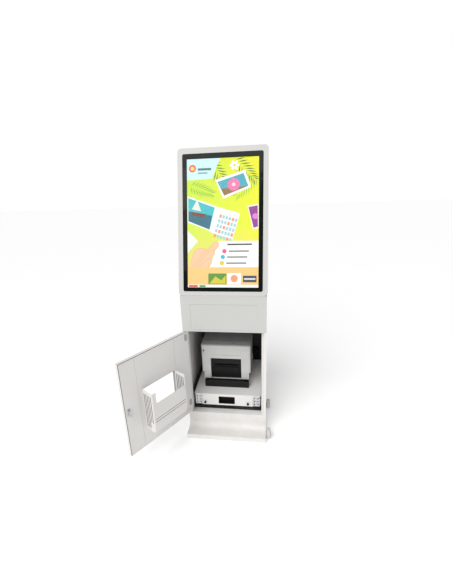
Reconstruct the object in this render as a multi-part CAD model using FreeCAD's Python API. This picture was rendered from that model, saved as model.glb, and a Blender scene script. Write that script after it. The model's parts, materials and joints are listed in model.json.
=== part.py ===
import FreeCAD
import Part
import math
import os

# Floor-standing self-service photo-print kiosk.
# Millimetres. X is to the right, Y goes into the cabinet, Z is up.
# While the pieces are made, y = 0 is the cabinet's front face and z = 0 the floor.
# save() then moves everything so that the origin is the centre of the four floor anchors.

V = FreeCAD.Vector

# ---------------------------------------------------------------- driving dimensions
# cabinet
case_width = 486.0
case_depth = 505.0
skin = 1.5
opening_top = 692.0
bend_height = 913.0
shoulder_back = 770.0
shoulder_rise = 150.0

# reclined head
head_tilt = 14.5
head_overhang = 4.0
head_length = 800.0
head_front_depth = 45.0
head_back_depth = 27.0
head_corner = 20.0
head_wall = 2.0
joint_gap = 0.3

# touch glass and display, 32 inch in portrait
glass_width = 440.0
glass_length = 746.0
glass_thickness = 4.0
glass_corner = 10.0
glass_foot = 23.5
glass_gap = 0.5
gasket_thickness = 1.0
gasket_width = 11.0
seat_thickness = 2.0
display_width = 412.0
display_length = 718.0
display_thickness = 13.5
chassis_width = 430.0
chassis_length = 734.0
chassis_thickness = 13.0

# base
base_thickness = 8.0
foot_reach = 91.0
foot_height = 30.0
foot_curve = 45.0
foot_edge = 3.0
ledge_height = 128.0
ledge_depth = 43.0
ledge_lip = 26.0
anchor_spacing_x = 340.0
anchor_spacing_y = 360.0
anchor_radius = 7.0
anchor_front = 60.0

# transport rollers on the right side of the base
roller_radius = 30.0
roller_width = 22.0
roller_floor_gap = 2.0
roller_front = -39.0
roller_rear = 240.0
roller_plate = 3.0
roller_side_gap = 2.5
axle_radius = 4.0
axle_clearance = 0.08

# door, hung on two pivot pins at its left edge
door_thickness = 20.0
door_skin = 1.5
door_gap = 3.0
rebate_depth = 24.0
right_return = 14.0
frame_opening = 430.0
frame_head_drop = 8.0
pin_inset = 13.0
door_edge = 6.0
pin_radius = 4.0
pin_clearance = 0.08
pin_engagement = 14.0
bush_wall = 3.0
pivot_plate = 2.0
door_rest_angle = 122.5
seam_gap = 1.0
hinge_stile = 106.5
lock_stile = 90.5
hinge_cup_width = 20.0
hinge_cup_height = 44.0
hinge_cup_thickness = 1.8

# window in the door and the print pocket behind it
window_left = -116.0
window_right = 110.0
window_bottom = 300.0
window_top = 485.0
pocket_depth = 83.0
pocket_sheet = 1.2
pocket_top = 490.0
pocket_knee = 286.0
pocket_bottom = 243.0
pocket_taper = 9.0
pocket_cut_bottom = 424.0
pocket_slot_count = 5
pocket_slot_width = 5.0
pocket_slot_start = 10.0
pocket_slot_margin = 16.0
pocket_slot_top = 22.0
pocket_flange = 9.0
pocket_cut_inset = 6.0
pocket_cut_margin = 22.0
pocket_print_slots = (313.0, 329.0)
pocket_print_slot = 3.0

# cam lock
lock_from_free_edge = 24.5
lock_height = 410.0
lock_radius = 9.5
lock_clearance = 0.1
cam_length = 34.0
cam_width = 14.0
cam_thickness = 2.0
cam_standoff = 7.5
plug_radius = 5.0
plug_clearance = 0.06

# pull-out tray and its slides
tray_front = 40.0
tray_top = 238.0
tray_length = 436.0
tray_side_gap = 3.0
tray_sheet = 2.0
tray_rear_drop = 30.0
apron_bottom = 157.0
apron_half_width = 160.0
grip_width = 104.0
grip_centre = -5.0
grip_bottom = 167.0
grip_top = 221.0
grip_depth = 34.0
grip_rim = 6.0
grip_wall = 3.0
slide_height = 46.0
slide_bottom = 168.0
slide_thickness = 12.5
slide_setback = 6.0
rail_length = 420.0
inner_rail_step = 2.2
middle_rail_step = 7.2
spacer_sheet = 1.5
spacer_lap = 8.0
slide_sheet = 1.4
slide_play = 0.4
bracket_sheet = 1.8
knob_radius = 7.0
knob_length = 12.0
knob_left = -143.0
knob_right = 130.0
knob_height = 179.0
bracket_top_width = 30.0
bracket_drop = 4.0
bracket_hole_radius = 4.2

# dye-sublimation photo printer
printer_width = 318.0
printer_centre = -15.5
printer_front = 148.0
printer_depth = 321.0
printer_foot = 8.0
foot_inset = 21.0
foot_radius = 7.0
front_foot_back = 40.0
rear_foot_in = 24.0
printer_height = 289.0
printer_wall = 3.0
printer_seam = 85.0
printer_lid = 13.0
printer_lid_bevel = 38.0
lid_slot_width = 101.0
lid_slot_depth = 14.0
lid_barrel_radius = 5.0
lid_pin_radius = 2.5
lid_pin_length = 8.0
lid_pin_play = 0.1
lid_lug_width = 6.0
lid_lug_root = 10.0
lid_lug_gap = 0.5
lower_body_inset = 12.0
front_panel_depth = 22.0
bin_shift = 3.5
bin_inset = 15.5
bin_height = 46.0
bin_tub_height = 26.0
bin_front = 118.0
bin_length = 245.0
bin_clearance = 1.0
bin_brow = 5.0
bin_wall = 2.5
bin_shoulder = 22.0
bin_face_depth = 28.0
output_width = 200.0
output_height = 156.0
output_bottom = 30.0
output_shift = -2.0
output_plate = 3.0
output_lap = 4.0
line_rise = 24.0
line_height = 3.0
button_radius = 5.0
button_travel = 1.5
button_length = 20.0
button_proud = 1.8
button_inset = 14.0
button_drop = 48.0
media_back = 200.0
media_rise = 168.0

# shelves and service parts
shelf_sheet = 1.5
ceiling_height = 700.0
floor_height = 64.0
service_width = 380.0
service_bottom = 150.0
service_top = 700.0
service_lap = 14.0
fan_size = 120.0
fan_thickness = 25.0
screw_radius = 3.0
screw_head = 2.0
gland_bore = 8.0
inlet_x = 150.0
inlet_z = 100.0
rocker_rise = 13.0
fan_z = 600.0
fan_blades = 7
louvre_rows = 12
louvre_pitch = 20.0
louvre_width = 120.0
louvre_height = 6.0
louvre_start = 40.0
louvre_inner = 20.0
shoulder_plate = 3.0
cover_half = 190.5
cover_rise = 13.0
cover_high = 860.0
cover_gap = 0.8
cover_lap = 8.0
outlet_left = 144.0
outlet_width = 44.0
outlet_depth = 24.0
outlet_low = 240.0
outlet_high = 320.0
outlet_lamp = 12.0

# ---------------------------------------------------------------- worked-out positions
half = case_width / 2
head_width = case_width + 2 * head_overhang
inner_half = half - skin
back_inside = case_depth - skin
tilt = math.radians(head_tilt)
head_depth = head_front_depth + head_back_depth
pin_x = -half + pin_inset
pin_y = door_thickness / 2
door_left = pin_x - door_edge
door_right = half - right_return - door_gap
door_bottom = ledge_height + door_gap
door_top = opening_top - door_gap
lock_x = door_right - lock_from_free_edge
anchor_centre = anchor_front + anchor_spacing_y / 2
deck_bottom = tray_top - tray_sheet
printer_left = printer_centre - printer_width / 2
bin_centre = printer_centre + bin_shift
bin_width = printer_width - 2 * bin_inset
printer_right = printer_centre + printer_width / 2
printer_base = tray_top + printer_foot
printer_top = printer_base + printer_height
printer_back = printer_front + printer_depth
lid_axis_y = printer_back - lid_barrel_radius
lid_axis_z = printer_top - printer_lid + lid_barrel_radius
printer_seam_z = printer_base + printer_seam
frame_edge = frame_opening / 2
tray_half_width = frame_edge - tray_side_gap
slide_x = frame_edge - slide_thickness
inner_rail_web = slide_x + inner_rail_step
middle_rail_web = slide_x + middle_rail_step
outer_rail_web = frame_edge
axle_height = roller_radius + roller_floor_gap
roller_inner = half + roller_plate + roller_side_gap
roller_outer = roller_inner + roller_width
cover_low = opening_top + cover_rise
rocker_z = inlet_z + rocker_rise
glass_top = glass_foot + glass_length
glass_middle = (glass_foot + glass_top) / 2
seat_depth = glass_thickness + gasket_thickness
display_n = seat_depth + seat_thickness + joint_gap
output_left = printer_centre - output_width / 2 + output_shift
button_x = printer_left + button_inset
button_z = printer_top - button_drop
media_y = printer_front + media_back
media_z = printer_base + media_rise


# ---------------------------------------------------------------- shape helpers
def block(x0, x1, y0, y1, z0, z1):
    """Box between two corners."""
    return Part.makeBox(x1 - x0, y1 - y0, z1 - z0, V(x0, y0, z0))


def rod(radius, length, start, axis):
    """Cylinder from a start point along an axis."""
    return Part.makeCylinder(radius, length, V(*start), V(*axis))


def side_outline(points, x0, x1):
    """Solid between two X planes over a closed outline of (y, z) points."""
    corners = [V(x0, y, z) for y, z in points + points[:1]]
    return Part.Face(Part.makePolygon(corners)).extrude(V(x1 - x0, 0, 0))


def rounded_plate(x0, x1, z0, z1, y0, y1, radius):
    """Upright plate with rounded corners, its thickness along Y."""
    plate = block(x0, x1, y0, y1, z0, z1)
    corners = [e for e in plate.Edges if abs(e.Vertexes[0].Y - e.Vertexes[-1].Y) > 1e-6]
    return plate.makeFillet(radius, corners)


def open_box(x0, x1, y0, y1, z0, z1, wall, side):
    """Box with walls, open on one side: front, back, top or bottom."""
    ends = {"front": (0, 1, 1, 1), "back": (1, 0, 1, 1), "top": (1, 1, 1, 0), "bottom": (1, 1, 0, 1)}
    near, far, low, high = [wall if closed else -wall for closed in ends[side]]
    inside = block(x0 + wall, x1 - wall, y0 + near, y1 - far, z0 + low, z1 - high)
    return block(x0, x1, y0, y1, z0, z1).cut(inside)


def joined(shapes):
    """One solid from shapes that touch or overlap."""
    whole = shapes[0].fuse(shapes[1:]) if len(shapes) > 1 else shapes[0]
    return whole.removeSplitter()


def group(shapes):
    """Separate solids kept together in one node."""
    return Part.makeCompound(shapes)


def mirrored(shape):
    """The same shape on the other side of the cabinet."""
    return shape.mirror(V(0, 0, 0), V(1, 0, 0))


def head_point(s, n):
    """(y, z) of a point s up the reclined face and n behind it."""
    y = s * math.sin(tilt) + n * math.cos(tilt)
    z = bend_height + s * math.cos(tilt) - n * math.sin(tilt)
    return y, z


def reclined(shape):
    """Turns a shape made upright, with its foot at z = 0, into the head's place."""
    placed = shape.copy()
    placed.rotate(V(0, 0, 0), V(1, 0, 0), -head_tilt)
    placed.translate(V(0, 0, bend_height))
    return placed


def hung(shape):
    """Turns a shape made for the closed door into the door's rest position."""
    placed = shape.copy()
    placed.rotate(V(pin_x, pin_y, 0), V(0, 0, 1), -door_rest_angle)
    return placed


def save(name, shape):
    """Moves a shape to the anchor origin and writes it."""
    placed = shape.copy()
    placed.translate(V(0, -anchor_centre, 0))
    placed.exportStep("parts/" + name + ".step")


# ---------------------------------------------------------------- base
def foot_outline(offset, back, floor):
    """Face of the stepped foot, curved plinth and ledge, moved inwards by offset."""
    front = -foot_reach + offset
    top = foot_height - offset
    edge = foot_edge - offset
    bow = foot_curve + offset
    centre = V(0, -foot_curve, foot_height + foot_curve)
    turn = math.sqrt(0.5)
    points = [
        V(0, front, floor),
        V(0, front, top - edge),
        V(0, front + edge, top),
        V(0, -foot_curve, top),
        V(0, offset, foot_height + foot_curve),
        V(0, offset, ledge_height - offset),
        V(0, back, ledge_height - offset),
        V(0, back, floor),
    ]
    edge_middle = V(0, front + edge * (1 - turn), top - edge * (1 - turn))
    bow_middle = centre + V(0, bow * turn, -bow * turn)
    edges = [
        Part.makeLine(points[0], points[1]),
        Part.Arc(points[1], edge_middle, points[2]).toShape(),
        Part.makeLine(points[2], points[3]),
        Part.Arc(points[3], bow_middle, points[4]).toShape(),
        Part.makeLine(points[4], points[5]),
        Part.makeLine(points[5], points[6]),
        Part.makeLine(points[6], points[7]),
        Part.makeLine(points[7], points[0]),
    ]
    return Part.Face(Part.Wire(edges))


def plinth_cover():
    """Folded sheet over the foot, up the plinth and back along the ledge."""
    outside = foot_outline(0.0, ledge_depth, 0.0).extrude(V(case_width, 0, 0))
    outside.translate(V(-half, 0, 0))
    inside = foot_outline(skin, ledge_depth + 1, -1.0).extrude(V(2 * inner_half, 0, 0))
    inside.translate(V(-inner_half, 0, 0))
    cover = outside.cut(inside)
    for x0, x1 in ((-half, -inner_half), (inner_half, half)):
        cover = cover.cut(block(x0 - 1 * (x0 < 0), x1 + 1 * (x0 > 0), skin, ledge_depth + 1, -1, ledge_height + 1))
    lip = block(-inner_half, inner_half, ledge_depth - skin, ledge_depth, ledge_height - ledge_lip, ledge_height)
    return joined([cover, lip])


def base_plate():
    """Steel plate that carries the cabinet, with four floor anchor holes."""
    plate = block(-inner_half, inner_half, -foot_reach + skin, back_inside, 0, base_thickness)
    for x in (-anchor_spacing_x / 2, anchor_spacing_x / 2):
        for y in (anchor_front, anchor_front + anchor_spacing_y):
            plate = plate.cut(rod(anchor_radius, base_thickness + 2, (x, y, -1), (0, 0, 1)))
    return plate


def roller_bracket(y):
    """Side plate with a stub axle and a collar that keeps the roller on."""
    plate = block(half, half + roller_plate, y - 18, y + 18, 5, axle_height + 13)
    corners = [e for e in plate.Edges if abs(e.Vertexes[0].X - e.Vertexes[-1].X) > 1e-6]
    plate = plate.makeFillet(5, corners)
    axle = rod(axle_radius, roller_outer + 3 - half, (half, y, axle_height), (1, 0, 0))
    collar = rod(axle_radius + 4, 2.5, (roller_outer + 0.5, y, axle_height), (1, 0, 0))
    bolts = [rod(3.2, 2.2, (half + roller_plate - 0.2, y + dy, 13), (1, 0, 0)) for dy in (-11, 11)]
    return joined([plate, axle, collar] + bolts)


def roller(y):
    """Moulded wheel with rounded tread and recessed hub."""
    wheel = rod(roller_radius, roller_width, (roller_inner, y, axle_height), (1, 0, 0))
    wheel = wheel.makeFillet(4, [e for e in wheel.Edges if len(e.Vertexes) == 1])
    web = roller_radius - 8
    for x in (roller_inner - 1, roller_outer - 5):
        groove = rod(web, 6, (x, y, axle_height), (1, 0, 0))
        wheel = wheel.cut(groove.cut(rod(10, 6, (x, y, axle_height), (1, 0, 0))))
    bore = rod(axle_radius + axle_clearance, roller_width + 4, (roller_inner - 2, y, axle_height), (1, 0, 0))
    return wheel.cut(bore)


# ---------------------------------------------------------------- cabinet sheets
def side_panel_outline():
    """(y, z) outline of a cabinet side, which follows the back of the head."""
    lower_n = (skin + joint_gap * math.sin(tilt)) / math.cos(tilt)
    return [
        (skin, 0),
        (back_inside, 0),
        (back_inside, shoulder_back),
        head_point(shoulder_rise, head_depth + joint_gap),
        head_point(-joint_gap, head_depth + joint_gap),
        head_point(-joint_gap, lower_n),
    ]


def cabinet_side_left():
    """Left side, cut back beside the door's pivot edge."""
    side = side_outline(side_panel_outline(), -half, -inner_half)
    notch = block(-half - 1, -inner_half + 1, 0, rebate_depth, ledge_height, opening_top)
    return side.cut(notch)


def cabinet_side_right():
    """Right side with the folded return that the door closes against."""
    side = side_outline(side_panel_outline(), inner_half, half)
    face = block(half - right_return, half, 0, skin, ledge_height, opening_top)
    fold = block(half - right_return, half - right_return + skin, 0, rebate_depth, ledge_height, opening_top)
    return joined([side, face, fold])


def door_frame():
    """Recessed frame behind the door: two legs and a head rail."""
    y0 = rebate_depth
    y1 = rebate_depth + skin
    edge = frame_opening / 2
    rail = opening_top - frame_head_drop
    legs = [
        block(-inner_half, -edge, y0, y1, ledge_height, ceiling_height),
        block(edge, inner_half, y0, y1, ledge_height, ceiling_height),
    ]
    head = block(-edge, edge, y0, y1, rail, ceiling_height)
    stop = block(edge, edge + skin, y1, y1 + 10, lock_height + 60, rail)
    return joined(legs + [head, stop])


def neck_outline_top():
    """Height of the neck sheet's top edge, just under the tilted head."""
    return bend_height - skin * math.tan(tilt) - joint_gap


def neck_panel():
    """Upright front sheet between the door and the head, with its cover opening."""
    sheet = block(-half, half, 0, skin, opening_top, neck_outline_top())
    fold = block(-inner_half, inner_half, 0, rebate_depth - 2, opening_top, opening_top + skin)
    window = block(-cover_half, cover_half, -1, skin + 1, cover_low, cover_high)
    return joined([sheet, fold]).cut(window)


def neck_cover():
    """Flush service cover in the neck, fixed to a lapped rim behind it."""
    gap = cover_gap
    lap = cover_lap
    flush = block(-cover_half + gap, cover_half - gap, 0, skin, cover_low + gap, cover_high - gap)
    rim = block(-cover_half - lap, cover_half + lap, skin, skin * 2, cover_low - lap, cover_high + lap)
    return joined([flush, rim])


def shelf(z, front):
    """Full-width shelf with a turned-down front edge."""
    plate = block(-inner_half, inner_half, front, back_inside, z, z + shelf_sheet)
    edge = block(-inner_half, inner_half, front, front + shelf_sheet, z - 12, z)
    return joined([plate, edge])


def rear_panel():
    """Rear sheet with the service opening, the mains inlet and the cable gland holes."""
    sheet = block(-half, half, back_inside, case_depth, 0, shoulder_back)
    opening = block(-service_width / 2, service_width / 2, back_inside - 1, case_depth + 1, service_bottom, service_top)
    inlet = block(inlet_x - 14, inlet_x + 14, back_inside - 1, case_depth + 1, inlet_z - 24, inlet_z + 24)
    gland = rod(gland_bore + 4.0, skin + 2, (-inlet_x, back_inside - 1, inlet_z), (0, 1, 0))
    return sheet.cut(opening).cut(inlet).cut(gland)


def service_cover():
    """Rear service cover with louvre slots and a fan grille, lapping its opening."""
    edge = service_lap
    left = -service_width / 2 - edge
    right = service_width / 2 + edge
    low = service_bottom - edge
    high = service_top + edge
    plate = block(left, right, case_depth, case_depth + skin, low, high)
    for row in range(louvre_rows):
        z = service_bottom + louvre_start + row * louvre_pitch
        for x in (-louvre_width - louvre_inner, louvre_inner):
            slot = block(x, x + louvre_width, case_depth - 1, case_depth + skin + 1, z, z + louvre_height)
            plate = plate.cut(slot)
    for ring in range(4):
        outer = 14.0 + ring * 12
        slit = rod(outer, skin + 2, (0, case_depth - 1, fan_z), (0, 1, 0))
        slit = slit.cut(rod(outer - 5, skin + 2, (0, case_depth - 1, fan_z), (0, 1, 0)))
        for angle in (45, 135):
            spoke = block(-70, 70, case_depth - 1, case_depth + skin + 1, fan_z - 3, fan_z + 3)
            spoke.rotate(V(0, 0, fan_z), V(0, 1, 0), angle)
            slit = slit.cut(spoke)
        plate = plate.cut(slit)
    return plate


def service_screws():
    """Pan-head screws round the rear service cover."""
    screws = []
    x = service_width / 2 + service_lap / 2
    for z in (service_bottom, (service_bottom + service_top) / 2, service_top):
        for at in (-x, x):
            screws.append(rod(screw_radius, screw_head, (at, case_depth + skin, z), (0, 1, 0)))
    return group(screws)


def shoulder_cover():
    """Sloping top sheet behind the head."""
    y1, z1 = head_point(shoulder_rise, head_depth + joint_gap + shoulder_plate)
    y0, z0 = back_inside, shoulder_back
    run = math.hypot(y0 - y1, z1 - z0)
    drop = skin * run / (y0 - y1)
    outline = [(y0, z0), (y1, z1), (y1, z1 - drop), (y0, z0 - drop)]
    return side_outline(outline, -inner_half, inner_half)


def head_mount_plate():
    """Plate between the cabinet sides that the head is bolted to."""
    n0 = head_depth + joint_gap
    plate = block(-inner_half, inner_half, n0, n0 + shoulder_plate, 0, shoulder_rise - 6)
    hole = block(-90, 90, n0 - 1, n0 + shoulder_plate + 1, 40, 110)
    bolts = []
    for x in (-150, 150):
        for s in (30, 120):
            bolts.append(rod(5, 3, (x, n0 + shoulder_plate, s), (0, 1, 0)))
    return reclined(joined([plate.cut(hole)] + bolts))


# ---------------------------------------------------------------- head
def head_plate(width, low, high, n0, n1, radius):
    """Rounded plate centred on the head, in the head's own upright frame."""
    return rounded_plate(-width / 2, width / 2, low, high, n0, n1, radius)


def head_bezel():
    """Front casing of the head with the stepped seat for the glass."""
    outer = head_plate(head_width, 0, head_length, 0, head_front_depth, head_corner)
    hollow = head_plate(
        head_width - 2 * head_wall,
        head_wall,
        head_length - head_wall,
        seat_depth + seat_thickness,
        head_front_depth + 1,
        head_corner - head_wall,
    )
    pocket = head_plate(
        glass_width + 2 * glass_gap,
        glass_foot - glass_gap,
        glass_top + glass_gap,
        -1,
        seat_depth,
        glass_corner + glass_gap,
    )
    through = head_plate(
        glass_width - 2 * gasket_width,
        glass_foot + gasket_width,
        glass_top - gasket_width,
        -1,
        head_front_depth,
        glass_corner,
    )
    return reclined(outer.cut(hollow).cut(pocket).cut(through))


def glass_gasket():
    """Foam ring that the glass is bonded to."""
    ring = head_plate(glass_width - 2, glass_foot + 1, glass_top - 1, glass_thickness, seat_depth, glass_corner)
    hole = head_plate(
        glass_width - 2 * gasket_width + 1,
        glass_foot + gasket_width - 0.5,
        glass_top - gasket_width + 0.5,
        0,
        seat_depth + 1,
        glass_corner,
    )
    return reclined(ring.cut(hole))


def touch_glass():
    """Toughened touch glass, flush with the bezel."""
    return reclined(head_plate(glass_width, glass_foot, glass_top, 0, glass_thickness, glass_corner))


def display_panel():
    """Liquid-crystal panel behind the glass."""
    low = glass_middle - display_length / 2
    panel = block(
        -display_width / 2, display_width / 2, display_n, display_n + display_thickness, low, low + display_length
    )
    return reclined(panel)


def display_chassis():
    """Pressed pan that holds the panel, with four ears to the bezel."""
    n0 = display_n + display_thickness
    low = glass_middle - chassis_length / 2
    wide = chassis_width / 2
    pan = open_box(-wide, wide, n0, n0 + chassis_thickness, low, low + chassis_length, 1.5, "back")
    ears = []
    reach = head_width / 2 - head_wall
    for s in (low + 90, low + chassis_length - 120):
        ears.append(block(-reach, -wide, n0, n0 + 2, s, s + 30))
        ears.append(block(wide, reach, n0, n0 + 2, s, s + 30))
    return reclined(joined([pan] + ears))


def driver_board():
    """Display driver board with its taller components."""
    n0 = display_n + display_thickness + 1.5
    board = block(-90, 90, n0, n0 + 1.6, 300, 420)
    parts = [
        block(-70, -30, n0 + 1.6, n0 + 8, 330, 370),
        block(-10, 30, n0 + 1.6, n0 + 5, 340, 380),
        block(45, 75, n0 + 1.6, n0 + 9, 310, 400),
    ]
    return reclined(joined([board] + parts))


def head_back_cover():
    """Rear pan of the head with vent slots near its top and a cable opening at its foot."""
    n0 = head_front_depth + joint_gap
    outer = head_plate(head_width, 0, head_length, n0, head_depth, head_corner)
    hollow = head_plate(
        head_width - 2 * head_wall, head_wall, head_length - head_wall, n0 - 1, head_depth - head_wall,
        head_corner - head_wall,
    )
    cover = outer.cut(hollow)
    for row in range(10):
        s = head_length - 190 + row * 14
        for x in (-160, 20):
            cover = cover.cut(block(x, x + 140, head_depth - head_wall - 1, head_depth + 1, s, s + 5))
    cover = cover.cut(block(-80, 80, head_depth - head_wall - 1, head_depth + 1, 45, 105))
    return reclined(cover)


def speakers():
    """Two flat speakers fixed inside the rear pan."""
    pair = []
    n1 = head_depth - head_wall
    for x in (-150, 150):
        body = rounded_plate(x - 45, x + 45, 180, 300, n1 - 18, n1, 12)
        cone = rod(32, 6, (x, n1 - 22, 240), (0, 1, 0))
        pair.append(joined([body, cone]))
    return reclined(group(pair))


# ---------------------------------------------------------------- door
def door_window(y0, y1):
    """Space of the print window through the door."""
    return rounded_plate(window_left, window_right, window_bottom, window_top, y0, y1, 4)


def door_panel():
    """Door pan: outer skin, folded edges and the two boxed stiles."""
    box = block(door_left, door_right, 0, door_thickness, door_bottom, door_top)
    inside = block(
        door_left + door_skin, door_right - door_skin, door_skin, door_thickness - door_skin,
        door_bottom + door_skin, door_top - door_skin,
    )
    between = block(
        door_left + hinge_stile, door_right - lock_stile, door_skin, door_thickness + 1,
        door_bottom + door_skin, door_top - door_skin,
    )
    pan = box.cut(inside).cut(between).cut(door_window(-1, door_thickness + 1))
    stiles = []
    for x in (door_left + hinge_stile, door_right - lock_stile - door_skin):
        stiles.append(block(x, x + door_skin, 0, door_thickness, door_bottom, door_top))
    pan = joined([pan] + stiles)
    for z in (door_bottom - 1, door_top - pin_engagement - 1):
        bush = rod(pin_radius + bush_wall, pin_engagement + 2, (pin_x, pin_y, z), (0, 0, 1))
        pan = pan.cut(bush)
    lock = rod(lock_radius + lock_clearance, door_thickness + 2, (lock_x, -1, lock_height), (0, 1, 0))
    return hung(pan.cut(lock))


def door_liner():
    """Inner sheet between the stiles, round the window."""
    x0 = door_left + hinge_stile + door_skin + seam_gap
    x1 = door_right - lock_stile - door_skin - seam_gap
    y0 = door_thickness - door_skin
    z0 = door_bottom + door_skin + seam_gap
    z1 = door_top - door_skin - seam_gap
    sheet = block(x0, x1, y0, door_thickness, z0, z1)
    hole = door_window(y0 - 1, door_thickness + 1)
    ribs = []
    for z in (z0, z1 - door_skin):
        ribs.append(block(x0, x1, door_skin, door_thickness, z, z + door_skin))
    return hung(joined([sheet.cut(hole)] + ribs))


def pivot_housings():
    """Bushes in the door's top and bottom edges, and the oval plates over them."""
    pair = []
    for z in (door_bottom, door_top - pin_engagement):
        bush = rod(pin_radius + bush_wall, pin_engagement, (pin_x, pin_y, z), (0, 0, 1))
        bore = rod(pin_radius + pin_clearance, pin_engagement + 2, (pin_x, pin_y, z - 1), (0, 0, 1))
        pair.append(bush.cut(bore))
    y0 = door_thickness
    for z in (door_top - 56, door_bottom + 52):
        x0 = door_left + 8
        plate = rounded_plate(x0, x0 + hinge_cup_width, z, z + hinge_cup_height, y0, y0 + hinge_cup_thickness, 9)
        pair.append(plate)
    return hung(group(pair))


def pivot_brackets():
    """Plates and pins that the door turns on, fixed to the frame and the ledge."""
    top = block(pin_x - 9, pin_x + 9, pin_y - 9, rebate_depth, opening_top - pivot_plate - 0.3, opening_top - 0.3)
    top_pin = rod(pin_radius, pin_engagement - 1, (pin_x, pin_y, door_top - pin_engagement + 1), (0, 0, 1))
    top_stem = rod(pin_radius, door_gap - 0.5, (pin_x, pin_y, door_top - 0.5), (0, 0, 1))
    low = block(pin_x - 9, pin_x + 9, pin_y - 9, rebate_depth, ledge_height, ledge_height + pivot_plate)
    low_pin = rod(pin_radius, door_gap + pin_engagement - 1, (pin_x, pin_y, ledge_height), (0, 0, 1))
    return group([joined([top, top_pin, top_stem]), joined([low, low_pin])])


def door_pocket():
    """Slotted sheet pocket that catches the prints behind the window."""
    y0 = door_thickness
    y1 = door_thickness + pocket_depth
    t = pocket_sheet
    outline = [
        (y0, pocket_bottom), (y1 - pocket_taper, pocket_bottom), (y1, pocket_knee), (y1, pocket_top), (y0, pocket_top),
    ]
    inset = [
        (y0 - 1, pocket_bottom + t), (y1 - pocket_taper - t, pocket_bottom + t), (y1 - t, pocket_knee + t / 2),
        (y1 - t, pocket_top + 1), (y0 - 1, pocket_top + 1),
    ]
    shell = side_outline(outline, window_left - t, window_right + t)
    shell = shell.cut(side_outline(inset, window_left, window_right))
    cut = rounded_plate(
        window_left + pocket_cut_inset, window_right - pocket_cut_margin, pocket_cut_bottom, pocket_top + 30,
        y1 - 2 * t, y1 + 1, 7,
    )
    shell = shell.cut(cut)
    for z in pocket_print_slots:
        shell = shell.cut(block(window_left + 4, window_right - 4, y1 - 2 * t, y1 + 1, z, z + pocket_print_slot))
    pitch = (pocket_depth - pocket_slot_margin) / pocket_slot_count
    for n in range(pocket_slot_count):
        y = y0 + pocket_slot_start + n * pitch
        low = pocket_bottom + pocket_slot_margin + (pocket_knee - pocket_bottom) * (n >= pocket_slot_count - 2)
        for x in (window_left - t - 1, window_right - 1):
            shell = shell.cut(block(x, x + t + 2, y, y + pocket_slot_width, low, pocket_top - pocket_slot_top))
    flange_z = [(pocket_bottom - 8, pocket_bottom + t), (pocket_bottom, pocket_top)]
    flanges = [block(window_left - t, window_right + t, y0, y0 + t, *flange_z[0])]
    for x0, x1 in ((window_left - pocket_flange, window_left), (window_right, window_right + pocket_flange)):
        flanges.append(block(x0, x1, y0, y0 + t, *flange_z[1]))
    return hung(joined([shell] + flanges))


def lock_body():
    """Lock cylinder housing through the door, with its outer rim and inner nut."""
    barrel = rod(lock_radius, door_thickness + cam_standoff, (lock_x, 0, lock_height), (0, 1, 0))
    rim = rod(lock_radius + 3, 2.5, (lock_x, -2.5, lock_height), (0, 1, 0))
    nut = rod(lock_radius + 3.5, 4, (lock_x, door_thickness, lock_height), (0, 1, 0))
    plug = rod(plug_radius + plug_clearance, door_thickness + cam_standoff + 4, (lock_x, -3, lock_height), (0, 1, 0))
    return hung(joined([barrel, rim, nut]).cut(plug))


def lock_cam():
    """Key plug with its cam, which hangs down when the lock is open."""
    y1 = door_thickness + cam_standoff + 0.3
    plug = rod(plug_radius, y1 + 3.0, (lock_x, -2.8, lock_height), (0, 1, 0))
    slot = block(lock_x - 1, lock_x + 1, -3, -0.5, lock_height - 3.5, lock_height + 3.5)
    arm = block(lock_x - cam_width / 2, lock_x + cam_width / 2, y1, y1 + cam_thickness, lock_height - cam_length,
                lock_height)
    head = rod(cam_width / 2, cam_thickness, (lock_x, y1, lock_height), (0, 1, 0))
    screw = rod(4, 2.5, (lock_x, y1 + cam_thickness, lock_height), (0, 1, 0))
    return hung(joined([plug.cut(slot), arm, head, screw]))


def lock_strike():
    """Hardened strip behind the frame that the cam turns against."""
    y0 = rebate_depth + skin
    edge = frame_opening / 2
    return block(edge + 2, inner_half, y0, y0 + 1.2, lock_height - 30, lock_height + 30)


# ---------------------------------------------------------------- tray and slides
def tray_deck():
    """Folded shelf for the printer with a front apron and a hand grip cut-out."""
    front = tray_front
    deck = block(-tray_half_width, tray_half_width, front, front + tray_length, deck_bottom, tray_top)
    apron = block(-apron_half_width, apron_half_width, front, front + tray_sheet, apron_bottom, tray_top)
    grip = rounded_plate(
        grip_centre - grip_width / 2, grip_centre + grip_width / 2, grip_bottom, grip_top, front - 1,
        front + tray_sheet + 1, 5,
    )
    rear = front + tray_length
    back = block(-apron_half_width, apron_half_width, rear - tray_sheet, rear, tray_top - tray_rear_drop, tray_top)
    return joined([deck, apron.cut(grip), back])


def grip_liner():
    """Black moulded surround behind the hand grip cut-out."""
    y0 = tray_front + tray_sheet
    x0 = grip_centre - grip_width / 2 - grip_rim
    x1 = grip_centre + grip_width / 2 + grip_rim
    return open_box(x0, x1, y0, y0 + grip_depth, grip_bottom - grip_rim, grip_top + grip_rim, grip_wall, "front")


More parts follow.
